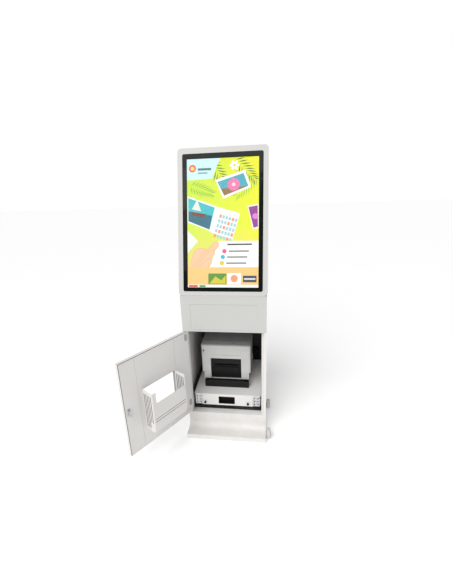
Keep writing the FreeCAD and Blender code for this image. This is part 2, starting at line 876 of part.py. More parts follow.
def slide_bracket(side):
    """Galvanised angle under the deck edge with a perforated front flange."""
    x1 = inner_rail_web
    x0 = x1 - bracket_sheet
    y0 = tray_front
    web = block(x0, x1, y0, y0 + tray_length, slide_bottom + bracket_drop, deck_bottom)
    top = block(x0 - bracket_top_width, x1, y0, y0 + tray_length, deck_bottom - bracket_sheet, deck_bottom)
    face = block(apron_half_width + 1, x1, y0, y0 + bracket_sheet, apron_bottom + bracket_drop, deck_bottom)
    for x in (apron_half_width + 12, apron_half_width + 34):
        for z in (apron_bottom + 18, apron_bottom + 40, apron_bottom + 62):
            face = face.cut(rod(bracket_hole_radius, bracket_sheet + 2, (x, y0 - 1, z), (0, 1, 0)))
    bracket = joined([web, top, face])
    return bracket if side > 0 else mirrored(bracket)


def tray_knob(x):
    """Black thumb screw on the tray's front apron, with its collar."""
    knob = rod(knob_radius, knob_length - 4, (x, tray_front - knob_length, knob_height), (0, 1, 0))
    collar = rod(knob_radius - 2.5, 4, (x, tray_front - 4, knob_height), (0, 1, 0))
    return joined([knob, collar])


def rail(x_web, x_lip, low, high, side):
    """C-shaped slide rail: a web and two lips that point to x_lip."""
    sheet = slide_sheet if x_lip > x_web else -slide_sheet
    y0 = tray_front + slide_setback
    y1 = y0 + rail_length
    web = block(min(x_web, x_web + sheet), max(x_web, x_web + sheet), y0, y1, low, high)
    lips = []
    for z in (low, high - slide_sheet):
        lips.append(block(min(x_web, x_lip), max(x_web, x_lip), y0, y1, z, z + slide_sheet))
    piece = joined([web] + lips)
    return piece if side > 0 else mirrored(piece)


def slide_rails(x_web, x_lip, inset):
    """The same rail on both sides of the cabinet."""
    low = slide_bottom + inset
    high = slide_bottom + slide_height - inset
    return group([rail(x_web, x_lip, low, high, 1), rail(x_web, x_lip, low, high, -1)])


def outer_rails():
    """Fixed rails, each on a folded spacer that reaches the cabinet wall."""
    low = slide_bottom
    high = slide_bottom + slide_height
    y0 = tray_front + slide_setback
    y1 = y0 + rail_length
    step = spacer_sheet
    plate = block(frame_edge, frame_edge + step, y0, y1, low - spacer_lap, high + spacer_lap)
    bridge = block(frame_edge, inner_half, y0, y1, low - spacer_lap, low - spacer_lap + step)
    flange = block(inner_half - step, inner_half, y0, y1, low - spacer_lap, high + spacer_lap)
    spacer = joined([plate, bridge, flange])
    web = rail(outer_rail_web, middle_rail_web + slide_play / 2, low, high, 1)
    fixed = joined([web, spacer])
    return group([fixed, mirrored(fixed)])


# ---------------------------------------------------------------- printer
def printer_case():
    """Rear and side shell of the printer on its narrower lower body."""
    seam = printer_seam_z
    y0 = printer_front + front_panel_depth
    top = printer_top - printer_lid
    upper = open_box(printer_left, printer_right, y0, printer_back, seam, top, printer_wall, "front")
    inset = lower_body_inset
    lower = open_box(
        printer_left + inset, printer_right - inset, y0, printer_back, printer_base, seam + printer_wall,
        printer_wall, "front",
    )
    lower = lower.cut(block(
        printer_left + inset + printer_wall, printer_right - inset - printer_wall, y0 - 1,
        printer_back - printer_wall, printer_base + printer_wall, seam + 2 * printer_wall,
    ))
    upper = upper.cut(block(
        printer_left + inset + printer_wall, printer_right - inset - printer_wall, y0 - 1,
        printer_back - printer_wall, seam - 1, seam + printer_wall + 1,
    ))
    case = joined([upper, lower])
    bay_half = bin_width / 2 - bin_shoulder + bin_clearance
    bay = block(
        bin_centre - bay_half, bin_centre + bay_half, y0 - 1, bin_front + bin_length + bin_clearance,
        printer_base - 1, tray_top + bin_tub_height + 2 * bin_clearance,
    )
    case = case.cut(bay)
    for row in range(8):
        z = seam + 40 + row * 9
        for x in (printer_left - 1, printer_right - printer_wall - 1):
            case = case.cut(block(x, x + printer_wall + 2, printer_back - 120, printer_back - 50, z, z + 4))
    return joined([case, lid_lug(printer_left, 1), lid_lug(printer_right, -1)])


def lid_lug(edge_x, inward):
    """Rounded lug at a rear corner of the case, with the pin that the lid turns on."""
    y, z = lid_axis_y, lid_axis_z
    x0 = min(edge_x, edge_x + inward * lid_lug_width)
    radius = lid_barrel_radius
    post = block(
        x0, x0 + lid_lug_width, y - radius, y + radius, printer_top - printer_lid - lid_lug_root, z,
    )
    crown = rod(radius, lid_lug_width, (x0, y, z), (1, 0, 0))
    pin_end = edge_x + inward * (lid_lug_width + lid_pin_length)
    pin = rod(lid_pin_radius, abs(pin_end - edge_x) - 1, (min(edge_x + inward, pin_end), y, z), (1, 0, 0))
    return joined([post, crown, pin])


def printer_front_panel():
    """Front moulding with the output opening, the seam lines and the drawer mouth."""
    y0 = printer_front
    y1 = printer_front + front_panel_depth
    seam = printer_seam_z
    top = printer_top - printer_lid
    upper = block(printer_left, printer_right, y0, y1, seam + 0.8, top)
    inset = lower_body_inset
    low = tray_top + bin_tub_height + 2 * bin_clearance
    lower = block(printer_left + inset, printer_right - inset, y0 + 1.5, y1, low, seam - 0.8)
    link = block(printer_left + inset + 2, printer_right - inset - 2, y0 + 4, y1, seam - 5, seam + 5)
    front = joined([upper, lower, link])
    for edge_x in (printer_left, printer_right):
        corner = [
            e for e in front.Edges
            if abs(e.Vertexes[0].X - edge_x) < 0.01 and abs(e.Vertexes[-1].X - edge_x) < 0.01
            and abs(e.Vertexes[0].Y - y0) < 0.01 and abs(e.Vertexes[-1].Y - y0) < 0.01
        ]
        front = front.makeFillet(8, corner)
    mouth = rounded_plate(
        output_left, output_left + output_width, printer_base + output_bottom,
        printer_base + output_bottom + output_height, y0 - 1, y1 + 1, 3,
    )
    front = front.cut(mouth)
    z = printer_base + output_bottom + output_height + line_rise
    front = front.cut(block(output_left + 8, output_left + output_width - 8, y0 - 1, y0 + 2, z, z + line_height))
    button = rod(button_radius + 0.3, 30, (button_x, y0 - 1, button_z), (0, 1, 0))
    return front.cut(button)


def printer_output_door():
    """Dark moulding that closes the back of the output opening, with its paper slot."""
    y0 = printer_front + front_panel_depth
    z0 = printer_base + output_bottom
    lap = output_lap
    x0 = output_left - lap
    x1 = output_left + output_width + lap
    plate = block(x0, x1, y0, y0 + output_plate, z0 - lap, z0 + output_height + lap)
    slot = block(output_left + 20, output_left + output_width - 20, y0 - 1, y0 + 4, z0 + 96, z0 + 104)
    guide = side_outline(
        [(y0, z0 + 92), (y0 - 16, z0 + 84), (y0 - 16, z0 + 81), (y0, z0 + 86)],
        output_left + 14, output_left + output_width - 14,
    )
    return joined([plate.cut(slot), guide])


def printer_lid_cover():
    """Dark top cover with a sloped front band and a finger slot."""
    z0 = printer_top - printer_lid
    y0 = printer_front
    barrel = []
    for step in range(9):
        turn = math.radians(-90 + step * 90 / 8)
        barrel.append((
            lid_axis_y + lid_barrel_radius * math.cos(turn), lid_axis_z + lid_barrel_radius * math.sin(turn),
        ))
    outline = [(y0, z0)] + barrel + [
        (printer_back, printer_top), (y0 + printer_lid_bevel, printer_top),
        (y0 + 3, printer_top - 5), (y0, printer_top - 8),
    ]
    lid = side_outline(outline, printer_left, printer_right)
    for edge_x, inward in ((printer_left, 1), (printer_right, -1)):
        shoulder = edge_x + inward * (lid_lug_width + lid_lug_gap)
        lid = lid.cut(block(
            min(edge_x - inward, shoulder), max(edge_x - inward, shoulder),
            lid_axis_y - lid_barrel_radius - lid_lug_gap, printer_back + 1, z0 - 1, printer_top + 1,
        ))
        bottom = edge_x + inward * (lid_lug_width + lid_pin_length + lid_lug_gap)
        lid = lid.cut(rod(
            lid_pin_radius + lid_pin_play, abs(bottom - edge_x), (min(edge_x, bottom), lid_axis_y, lid_axis_z),
            (1, 0, 0),
        ))
    y1 = y0 + 12
    slot = block(
        printer_centre - 4 - lid_slot_width / 2, printer_centre - 4 + lid_slot_width / 2, y1, y1 + lid_slot_depth,
        z0 + 2, printer_top + 1,
    )
    return lid.cut(slot)


def printer_feet():
    """Four rubber feet under the printer."""
    feet = []
    for x in (printer_left + foot_inset, printer_right - foot_inset):
        for y in (printer_front + front_foot_back, printer_back - rear_foot_in):
            feet.append(rod(foot_radius, printer_foot, (x, y, tray_top), (0, 0, 1)))
    return group(feet)


def waste_bin():
    """Black scrap drawer under the printer, open at its top."""
    x0 = bin_centre - bin_width / 2
    x1 = bin_centre + bin_width / 2
    z0 = tray_top + bin_clearance / 2
    z1 = tray_top + bin_height
    face = open_box(x0, x1, bin_front, bin_front + bin_face_depth, z0, z1, bin_wall, "top")
    t0 = x0 + bin_shoulder
    t1 = x1 - bin_shoulder
    y0 = bin_front + bin_face_depth - bin_wall
    tub_top = tray_top + bin_tub_height
    tub = open_box(t0, t1, y0, bin_front + bin_length, z0, tub_top, bin_wall, "top")
    through = block(t0 + bin_wall, t1 - bin_wall, y0 - 1, y0 + bin_wall + 1, z0 + bin_wall, tub_top)
    tub = joined([face, tub]).cut(through)
    brow = block(x0 + 30, x1 - 40, bin_front, bin_front + bin_wall, z1 - 1, z1 + bin_brow)
    return joined([tub, brow])


def media_shaft(y, z, core, outer):
    """Roll of media between the printer's walls: core ends and a wound body."""
    x0 = printer_left + printer_wall + 0.3
    x1 = printer_right - printer_wall - 0.3
    body = rod(outer, x1 - x0 - 60, (x0 + 30, y, z), (1, 0, 0))
    shaft = rod(core, x1 - x0, (x0, y, z), (1, 0, 0))
    return joined([body, shaft])


def printer_button():
    """Round power button of the printer."""
    return rod(button_radius, button_length, (button_x, printer_front - button_proud, button_z), (0, 1, 0))


def button_switch():
    """Switch block behind the printer's button."""
    y0 = printer_front + button_length - button_proud + button_travel + joint_gap
    y0 = max(y0, printer_front + front_panel_depth)
    return block(printer_left + printer_wall, button_x + 8, y0, y0 + 6, button_z - 8, button_z + 8)


# ---------------------------------------------------------------- service parts
def mini_pc():
    """Small computer on the upper shelf."""
    z0 = ceiling_height + shelf_sheet
    case = rounded_plate(-150, 40, z0, z0 + 45, 150, 340, 6)
    ports = [block(-130 + n * 30, -112 + n * 30, 340, 343, z0 + 12, z0 + 24) for n in range(5)]
    return joined([case] + ports)


def power_supply():
    """Enclosed power supply on the upper shelf."""
    z0 = ceiling_height + shelf_sheet
    case = block(80, 195, 170, 370, z0, z0 + 50)
    terminals = block(90, 185, 158, 170, z0 + 4, z0 + 22)
    return joined([case, terminals])


def outlet_block():
    """Outlet block on the rear cover behind the tray, with its indicator cap."""
    x1 = outlet_left + outlet_width
    y0 = case_depth - outlet_depth
    body = block(outlet_left, x1, y0, case_depth, outlet_low, outlet_high)
    cap = block(outlet_left + 6, x1 - 6, y0 + 4, case_depth, outlet_high, outlet_high + outlet_lamp)
    return joined([body, cap])


def power_inlet():
    """Rear mains inlet module with a rocker recess."""
    face = block(inlet_x - 18, inlet_x + 18, case_depth, case_depth + 3, inlet_z - 28, inlet_z + 28)
    body = block(inlet_x - 13.5, inlet_x + 13.5, case_depth - 30, case_depth, inlet_z - 23.5, inlet_z + 23.5)
    socket = block(inlet_x - 10, inlet_x + 10, case_depth - 14, case_depth + 4, inlet_z - 18, inlet_z - 3)
    earth = block(inlet_x - 1, inlet_x + 1, case_depth - 15, case_depth - 5, inlet_z - 9, inlet_z - 5)
    blades = [block(x - 1, x + 1, case_depth - 15, case_depth - 5, inlet_z - 16, inlet_z - 12)
              for x in (inlet_x - 6, inlet_x + 6)]
    recess = block(inlet_x - 7.5, inlet_x + 7.5, case_depth - 13, case_depth + 4, inlet_z + 3, inlet_z + 23)
    pins = [rod(1.5, 1.4, (x, case_depth - 4, rocker_z), (d, 0, 0))
            for x, d in ((inlet_x - 7.6, 1), (inlet_x + 7.6, -1))]
    module = joined([face, body]).cut(socket).cut(recess)
    return joined([module, earth] + blades + pins)


def power_rocker():
    """Rocker of the mains switch, turning on its two pins."""
    half_width = 6.9
    y = case_depth - 4
    outline = [(y + 6, rocker_z - 8.5), (y + 4.2, rocker_z), (y + 8.2, rocker_z + 8.0), (y - 4, rocker_z + 3.5),
               (y - 4, rocker_z - 3.5)]
    rocker = side_outline(outline, inlet_x - half_width, inlet_x + half_width)
    bore = rod(1.5 + 0.08, 2 * half_width + 2, (inlet_x - half_width - 1, y, rocker_z), (1, 0, 0))
    return rocker.cut(bore)


def cable_gland():
    """Threaded gland for the network cable, with its nuts on both sides of the sheet."""
    y0 = case_depth
    body = rod(gland_bore + 3.9, 34, (-inlet_x, y0 - 16, inlet_z), (0, 1, 0))
    nut = rod(gland_bore + 8, 6, (-inlet_x, y0, inlet_z), (0, 1, 0))
    inner_nut = rod(gland_bore + 8, 5, (-inlet_x, back_inside - 5, inlet_z), (0, 1, 0))
    bore = rod(gland_bore, 60, (-inlet_x, y0 - 30, inlet_z), (0, 1, 0))
    return joined([body, nut, inner_nut]).cut(bore)


def fan_frame():
    """Square frame of the cooling fan inside the rear cover."""
    y0 = case_depth - fan_thickness
    side = fan_size / 2
    frame = rounded_plate(-side, side, fan_z - side, fan_z + side, y0, case_depth, 6)
    frame = frame.cut(rod(side - 3, fan_thickness + 2, (0, y0 - 1, fan_z), (0, 1, 0)))
    boss = rod(20, 4, (0, y0, fan_z), (0, 1, 0))
    spindle = rod(2, 10, (0, y0, fan_z), (0, 1, 0))
    arms = []
    for angle in (0, 90):
        arm = block(-side + 1, side - 1, y0, y0 + 3, fan_z - 3, fan_z + 3)
        arm.rotate(V(0, 0, fan_z), V(0, 1, 0), angle + 45)
        arms.append(arm)
    return joined([frame, boss, spindle] + arms)


def fan_rotor():
    """Hub and blades of the cooling fan."""
    y0 = case_depth - fan_thickness + 4.4
    hub = rod(21, 16, (0, y0, fan_z), (0, 1, 0))
    blades = []
    for n in range(fan_blades):
        blade = block(-1.2, 1.2, y0 + 1.5, y0 + 14.5, fan_z + 19, fan_z + fan_size / 2 - 5)
        blade.rotate(V(0, y0 + 8, fan_z + 30), V(0, 0, 1), 42)
        blade.rotate(V(0, 0, fan_z), V(0, 1, 0), n * 360.0 / fan_blades)
        blades.append(blade)
    bore = rod(2.08, 20, (0, y0 - 1, fan_z), (0, 1, 0))
    return joined([hub] + blades).cut(bore)


# ---------------------------------------------------------------- build
def main():
    os.makedirs("parts", exist_ok=True)
    save("base_plate", base_plate())
    save("plinth_cover", plinth_cover())
    save("cabinet_side_left", cabinet_side_left())
    save("cabinet_side_right", cabinet_side_right())
    save("door_frame", door_frame())
    save("neck_panel", neck_panel())
    save("neck_cover", neck_cover())
    save("upper_shelf", shelf(ceiling_height, rebate_depth + skin))
    save("lower_shelf", shelf(floor_height, ledge_depth))
    save("rear_panel", rear_panel())
    save("rear_service_cover", service_cover())
    save("service_cover_screws", service_screws())
    save("shoulder_cover", shoulder_cover())
    save("head_mount_plate", head_mount_plate())

    save("head_bezel", head_bezel())
    save("glass_gasket", glass_gasket())
    save("touch_glass", touch_glass())
    save("display_panel", display_panel())
    save("display_chassis", display_chassis())
    save("display_driver_board", driver_board())
    save("head_back_cover", head_back_cover())
    save("speakers", speakers())

    save("door_panel", door_panel())
    save("door_liner", door_liner())
    save("door_pivot_housings", pivot_housings())
    save("door_pivot_brackets", pivot_brackets())
    save("print_pocket", door_pocket())
    save("lock_body", lock_body())
    save("lock_cam", lock_cam())
    save("lock_strike", lock_strike())

    save("tray_deck", tray_deck())
    save("tray_grip_liner", grip_liner())
    save("slide_brackets", group([slide_bracket(1), slide_bracket(-1)]))
    save("tray_knob_left", tray_knob(knob_left))
    save("tray_knob_right", tray_knob(knob_right))
    save("slide_outer_rails", outer_rails())
    save("slide_middle_rails", slide_rails(middle_rail_web, outer_rail_web - slide_sheet - slide_play, 2.2))
    save("slide_inner_rails", slide_rails(inner_rail_web, middle_rail_web - slide_play, 5.0))

    save("printer_case", printer_case())
    save("printer_front_panel", printer_front_panel())
    save("printer_output_plate", printer_output_door())
    save("printer_lid", printer_lid_cover())
    save("printer_feet", printer_feet())
    save("printer_waste_bin", waste_bin())
    save("printer_paper_roll", media_shaft(media_y, media_z, 12, 52))
    save("printer_ribbon_roll", media_shaft(media_y - 105, media_z - 20, 9, 22))
    save("printer_button", printer_button())
    save("printer_button_switch", button_switch())

    save("mini_pc", mini_pc())
    save("power_supply", power_supply())
    save("outlet_block", outlet_block())
    save("power_inlet", power_inlet())
    save("power_rocker", power_rocker())
    save("cable_gland", cable_gland())
    save("fan_frame", fan_frame())
    save("fan_rotor", fan_rotor())

    save("roller_brackets", group([roller_bracket(roller_front), roller_bracket(roller_rear)]))
    save("roller_front", roller(roller_front))
    save("roller_rear", roller(roller_rear))


main()
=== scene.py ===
import json
import math

import bmesh
import bpy
from mathutils import Matrix, Vector


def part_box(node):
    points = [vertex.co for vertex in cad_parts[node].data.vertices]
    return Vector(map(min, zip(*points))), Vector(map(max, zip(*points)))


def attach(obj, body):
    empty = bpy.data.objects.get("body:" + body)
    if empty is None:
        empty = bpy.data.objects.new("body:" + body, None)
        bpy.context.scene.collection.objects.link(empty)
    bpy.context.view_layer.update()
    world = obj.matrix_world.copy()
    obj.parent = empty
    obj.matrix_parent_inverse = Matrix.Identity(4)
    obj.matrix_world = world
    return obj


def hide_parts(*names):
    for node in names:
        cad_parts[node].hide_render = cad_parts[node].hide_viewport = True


bl_info = {
    "name": "Print Kiosk",
    "version": (1, 0, 0),
    "blender": (4, 5, 0),
    "location": "3D View > Sidebar > Kiosk",
    "description": "Finishes, screen picture, fasteners and studio for a self-service print kiosk",
    "category": "Object",
}

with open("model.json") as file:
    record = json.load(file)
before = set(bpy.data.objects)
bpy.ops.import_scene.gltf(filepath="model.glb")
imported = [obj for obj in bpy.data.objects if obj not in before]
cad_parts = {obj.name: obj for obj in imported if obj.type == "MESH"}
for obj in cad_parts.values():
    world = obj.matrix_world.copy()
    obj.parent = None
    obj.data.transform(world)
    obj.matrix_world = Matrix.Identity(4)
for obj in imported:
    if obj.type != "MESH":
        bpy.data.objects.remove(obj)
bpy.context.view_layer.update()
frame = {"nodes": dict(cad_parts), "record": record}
MM = 0.001
FINISH_OF = {part["node"]: part["material_slot"] for part in frame["record"]["subparts"]}

# the door's pin and how far it stands open at rest; the other places are those of the shut door, in metres
DOOR_PIN = (-0.230, -0.230, 0.0)
DOOR_OPEN = math.radians(122.5)
DOOR_INNER_FACE = -0.220
DOOR_FREE_EDGE = 0.226
# the near black rod along the door's top and free edges is painted shade; it starts here and stops short of the foot
EDGE_SHADE_START = -0.225
EDGE_SHADE_END_GAP = 0.006
POCKET_LEFT, POCKET_RIGHT = -0.116, 0.110
POCKET_FRONT, POCKET_BACK = -0.220, -0.137
POCKET_SHEET = 0.0012

# the pocket's slots: two low ones for the prints, and rows of upright ones in both side walls
PRINT_SLOT_FEET = (0.313, 0.329)
PRINT_SLOT_HEIGHT = 0.003
PRINT_SLOT_MARGIN = 0.004
SIDE_SLOT_COUNT = 5
SIDE_SLOT_WIDTH = 0.005
SIDE_SLOT_START = 0.010
SIDE_SLOT_SPARE = 0.016
SIDE_SLOT_FOOT, SIDE_SLOT_TOP = 0.259, 0.468
RAISED_SLOTS, RAISED_BY = 2, 0.043
# the near black strips in the slots are painted shade; they sit this far into the wall
SLOT_SHADE_INSET = 0.0002

# the rear sheets' inner faces, to this depth, are painted near black as painted shade for the dark inside of the
# cabinet
PAINTED_SHADE_DEPTH = 0.0008
PAINTED_SHADE_BLACK = (0.016, 0.016, 0.015)
DUST = (0.55, 0.50, 0.44)

LAMP_COUNT = 3
LAMP_DROP = 0.012
LAMP_PITCH = 0.011
LAMP_RISE = 0.6
LAYER_GAP = 0.000012

FLOOR_REACH = 30.0
SKY_LIGHT, SKY_SEEN = 0.42, 1.0
SUN_BEAM = (0.35, 0.75, -0.95)
LAMPS = (("key", (-0.7, -3.2, 2.6), 16.0, 1.6), ("fill", (2.6, -2.2, 1.8), 4.0, 2.0))
AIM = (0.0, 0.0, 0.8)
EYE = (0.2349, -1.8285, 1.4655)
EYE_YAW, EYE_PITCH, EYE_ROLL = (math.radians(angle) for angle in (7.7, 18.3, -2.0))
EYE_LENS, EYE_SENSOR = 24.52, 36.0


# ------------------------------------------------------------------ shader expressions
class Wire:
    """A shader socket that can stand in an arithmetic expression."""

    def __init__(self, net, socket):
        self.net = net
        self.socket = socket

    def __add__(self, other):
        return self.net.node("Math", {"operation": "ADD"}, {0: self, 1: other})

    def __sub__(self, other):
        return self.net.node("Math", {"operation": "SUBTRACT"}, {0: self, 1: other})

    def __rsub__(self, other):
        return self.net.node("Math", {"operation": "SUBTRACT"}, {0: other, 1: self})

    def __mul__(self, other):
        return self.net.node("Math", {"operation": "MULTIPLY"}, {0: self, 1: other})

    def __gt__(self, other):
        return self.net.node("Math", {"operation": "GREATER_THAN"}, {0: self, 1: other})

    def __lt__(self, other):
        return self.net.node("Math", {"operation": "LESS_THAN"}, {0: self, 1: other})

    __radd__ = __add__
    __rmul__ = __mul__


class Net:
    """One material's nodes."""

    def __init__(self, name):
        self.material = bpy.data.materials.new(name)
        self.material.use_nodes = True
        self.tree = self.material.node_tree
        self.tree.nodes.clear()

    def node(self, kind, settings, sockets, out=0):
        """Adds a node with its settings, then its sockets' values or links, and gives one output."""
        made = self.tree.nodes.new("ShaderNode" + kind)
        for key, value in settings.items():
            setattr(made, key, value)
        for key, value in sockets.items():
            if isinstance(value, Wire):
                self.tree.links.new(value.socket, made.inputs[key])
            else:
                made.inputs[key].default_value = value
        return Wire(self, made.outputs[out])

    def place(self, scale=(1.0, 1.0, 1.0)):
        """Object coordinates in metres, stretched by scale."""
        spot = self.node("TexCoord", {}, {}, "Object")
        return self.node("Mapping", {}, {"Vector": spot, "Scale": scale})

    def noise(self, where, scale, detail=3.0, rough=0.55):
        return self.node("TexNoise", {}, {"Vector": where, "Scale": scale, "Detail": detail, "Roughness": rough})

    def ramp(self, value, low, high):
        """0 below low, 1 above high and smooth between."""
        return self.node(
            "MapRange", {"interpolation_type": "SMOOTHSTEP"}, {"Value": value, "From Min": low, "From Max": high}
        )

    def blend(self, factor, first, second):
        return self.node("Mix", {"data_type": "RGBA"}, {0: factor, 6: rgba(first), 7: rgba(second)}, 2)

    def bump(self, height, distance, strength=0.5):
        return self.node("Bump", {}, {"Height": height, "Distance": distance, "Strength": strength})

    def finish(self, sockets):
        """Closes the tree with a Principled shader and gives the material."""
        shader = self.node("BsdfPrincipled", {}, sockets)
        output = self.tree.nodes.new("ShaderNodeOutputMaterial")
        self.tree.links.new(shader.socket, output.inputs["Surface"])
        return self.material


def rgba(colour):
    """A colour socket's value from a three-number colour, or a link as it is."""
    return colour if isinstance(colour, Wire) else (*tuple(colour)[:3], 1.0)


def shade(colour, factor):
    """A colour made lighter or darker."""
    return tuple(min(1.0, channel * factor) for channel in colour)


def screen_colour(red, green, blue):
    """Linear colour from a display's 0-255 values."""
    return tuple((v / 255.0) ** 2.2 for v in (red, green, blue))


# ------------------------------------------------------------------ finishes
def powder_coat(name, colour, soil, painted_shade_before=None):
    """Satin powder coat: orange peel, uneven gloss, dust low down. Where Y is below the given depth the coat is painted
    near black, as painted shade.
    """
    net = Net(name)
    where = net.place()
    peel = net.noise(where, 700.0, 2.0)
    patch = net.noise(where, 5.0, 4.0)
    rub = net.ramp(net.noise(net.place((1.0, 1.0, 9.0)), 26.0, 6.0, 0.7), 0.62, 0.72)
    height = net.node("SeparateXYZ", {}, {0: where}, 2)
    dust = (1.0 - net.ramp(height, 0.0, 0.32)) * net.ramp(net.noise(where, 14.0, 5.0), 0.35, 0.75) * soil
    base = net.blend(patch, shade(colour, 0.955), shade(colour, 1.015))
    base = net.blend(dust, base, DUST)
    # painted shade: the part of the sheet below the given depth is painted near black
    if painted_shade_before is not None:
        depth = net.node("SeparateXYZ", {}, {0: where}, 1)
        base = net.blend(depth < painted_shade_before, base, PAINTED_SHADE_BLACK)
    return net.finish({
        "Base Color": base, "Roughness": patch * 0.14 + 0.33 + rub * 0.12 + dust * 0.3,
        "Normal": net.bump(peel, 0.0004, 0.25), "Specular IOR Level": 0.45,
    })


def galvanised(name, colour, spangle):
    """Zinc coating with crystal spangle, or a finer plated grain when spangle is large."""
    net = Net(name)
    where = net.place()
    cells = net.node("TexVoronoi", {}, {"Vector": where, "Scale": spangle, "Randomness": 1.0}, "Color")
    grey = net.node("SeparateColor", {}, {0: cells}, 0)
    streak = net.noise(net.place((1.0, 12.0, 1.0)), 60.0, 5.0)
    bloom = net.ramp(net.noise(where, 9.0, 4.0), 0.5, 0.75)
    base = net.blend(grey, shade(colour, 0.84), shade(colour, 1.12))
    base = net.blend(bloom * 0.25, base, (0.72, 0.73, 0.73))
    return net.finish({
        "Base Color": base, "Metallic": 0.92 - bloom * 0.25, "Roughness": grey * 0.16 + streak * 0.14 + 0.26,
        "Normal": net.bump(streak + grey * 0.4, 0.0003, 0.2),
    })


def moulded(name, colour, grain, gloss):
    """Moulded plastic or rubber: spark-eroded grain with polished and dusty patches."""
    net = Net(name)
    where = net.place()
    pits = net.noise(where, grain, 3.0, 0.65)
    patch = net.noise(where, 18.0, 4.0)
    rub = net.ramp(net.noise(net.place((1.0, 6.0, 1.0)), 40.0, 6.0, 0.7), 0.6, 0.75)
    lift = tuple(min(1.0, channel * 1.1 + 0.003) for channel in colour)
    base = net.blend(patch, shade(colour, 0.92), lift)
    base = net.blend(rub * 0.10, base, tuple(min(1.0, c + 0.05) for c in colour))
    return net.finish({
        "Base Color": base, "Roughness": gloss + patch * 0.12 - rub * 0.08,
        "Normal": net.bump(pits, 0.00025, 0.45), "Specular IOR Level": 0.22,
    })


def polished(name, colour):
    """Chromed lock hardware with fine turning marks and fingerprints."""
    net = Net(name)
    where = net.place()
    turned = net.noise(net.place((1.0, 1.0, 30.0)), 300.0, 3.0)
    prints = net.ramp(net.noise(where, 90.0, 5.0), 0.5, 0.7)
    return net.finish({
        "Base Color": net.blend(prints * 0.4, colour, shade(colour, 0.8)), "Metallic": 1.0,
        "Roughness": prints * 0.2 + 0.1 + turned * 0.06, "Normal": net.bump(turned, 0.0001, 0.2),
    })


def wound(name, colour, line, gloss):
    """Wound media: thin turns that show as rings and bands."""
    net = Net(name)
    rings = net.noise(net.place((line, 40.0, 40.0)), 3.0, 6.0, 0.7)
    stain = net.noise(net.place(), 12.0, 3.0)
    return net.finish({
        "Base Color": net.blend(rings, shade(colour, 0.8), colour), "Roughness": gloss + stain * 0.12,
        "Normal": net.bump(rings, 0.0004, 0.5),
    })


def circuit(name, colour):
    """Solder mask with traces and tinned pads."""
    net = Net(name)
    where = net.place()
    brick = {"Vector": where, "Scale": 160.0, "Mortar Size": 0.08, "Color1": rgba(colour),
             "Color2": rgba(shade(colour, 1.5)), "Mortar": rgba(shade(colour, 2.6))}
    tracks = net.node("TexBrick", {}, brick)
    pads = net.node("TexVoronoi", {}, {"Vector": where, "Scale": 220.0}, "Distance") < 0.18
    return net.finish({
        "Base Color": net.blend(pads, tracks, (0.62, 0.6, 0.5)), "Metallic": pads * 0.9,
        "Roughness": 0.42 - pads * 0.12, "Normal": net.bump(pads, 0.0002, 0.4),
    })


def printed_glass(name, sizes):
    """Touch glass: clear over the display, black ink behind its border, light finger marks."""
    net = Net(name)
    where = net.place()
    across, _, up = (net.node("SeparateXYZ", {}, {0: where}, n) for n in range(3))
    foot, rise = glass_foot(sizes)
    run = (up - foot.z) * (1.0 / math.cos(rise))
    margin = sizes.picture_foot
    clear = (across > -sizes.picture_width / 2) * (across < sizes.picture_width / 2)
    clear = clear * (run > margin) * (run < margin + sizes.picture_height)
    marks = net.ramp(net.noise(net.place((1.0, 1.0, 0.6)), 34.0, 6.0), 0.56, 0.72)
    return net.finish({
        "Base Color": net.blend(marks * 0.15, (0.0035, 0.007, 0.006), (0.03, 0.034, 0.032)),
        "Roughness": marks * 0.12 + 0.05, "Alpha": 1.0 - clear * 0.95, "Specular IOR Level": 0.12,
    })


def dark_cell(name):
    """Liquid-crystal panel face with its fine columns of cells."""
    net = Net(name)
    lines = net.node("TexWave", {"bands_direction": "X"}, {"Vector": net.place(), "Scale": 320.0})
    return net.finish({
        "Base Color": net.blend(lines, (0.01, 0.01, 0.012), (0.03, 0.03, 0.035)), "Roughness": lines * 0.1 + 0.3,
    })


def lit_picture(name, strength):
    """Back-lit picture whose colours come with the mesh, with a faint grid of cells."""
    net = Net(name)
    tint = net.node("Attribute", {"attribute_name": "tint"}, {}, "Color")
    grid = net.node("TexWave", {"bands_direction": "X"}, {"Vector": net.place(), "Scale": 180.0})
    grid = net.node("TexNoise", {}, {"Vector": net.place(), "Scale": 900.0}) * 0.5 + grid * 0.5
    glow = net.blend(grid * 0.06, tint, (0.0, 0.0, 0.0))
    return net.finish({
        "Base Color": (0.01, 0.01, 0.01, 1.0), "Roughness": grid * 0.05 + 0.4, "Emission Color": glow,
        "Emission Strength": strength,
    })


def indicator(name, colour, strength):
    """Small lens with a brighter core."""
    net = Net(name)
    core = net.noise(net.place(), 600.0, 2.0)
    return net.finish({
        "Base Color": net.blend(core, shade(colour, 0.7), colour), "Roughness": core * 0.1 + 0.15,
        "Emission Color": net.blend(core, shade(colour, 0.6), colour), "Emission Strength": strength,
    })


# ------------------------------------------------------------------ mesh helpers
def glass_foot(sizes):
    """Middle of the glass's lower front edge, and the head's tilt."""
    low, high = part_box("touch_glass")
    tilt = sizes.head_tilt
    foot = Vector(((low[0] + high[0]) / 2, low[1], low[2] + sizes.glass_thickness * math.sin(tilt)))
    return foot, tilt


def on_head(sizes, across, up, behind):
    """A point on the reclined head: across and up from the glass's lower edge, and behind its face."""
    foot, tilt = glass_foot(sizes)
    return foot + Vector((
        across,
        up * math.sin(tilt) + behind * math.cos(tilt),
        up * math.cos(tilt) - behind * math.sin(tilt),
    ))


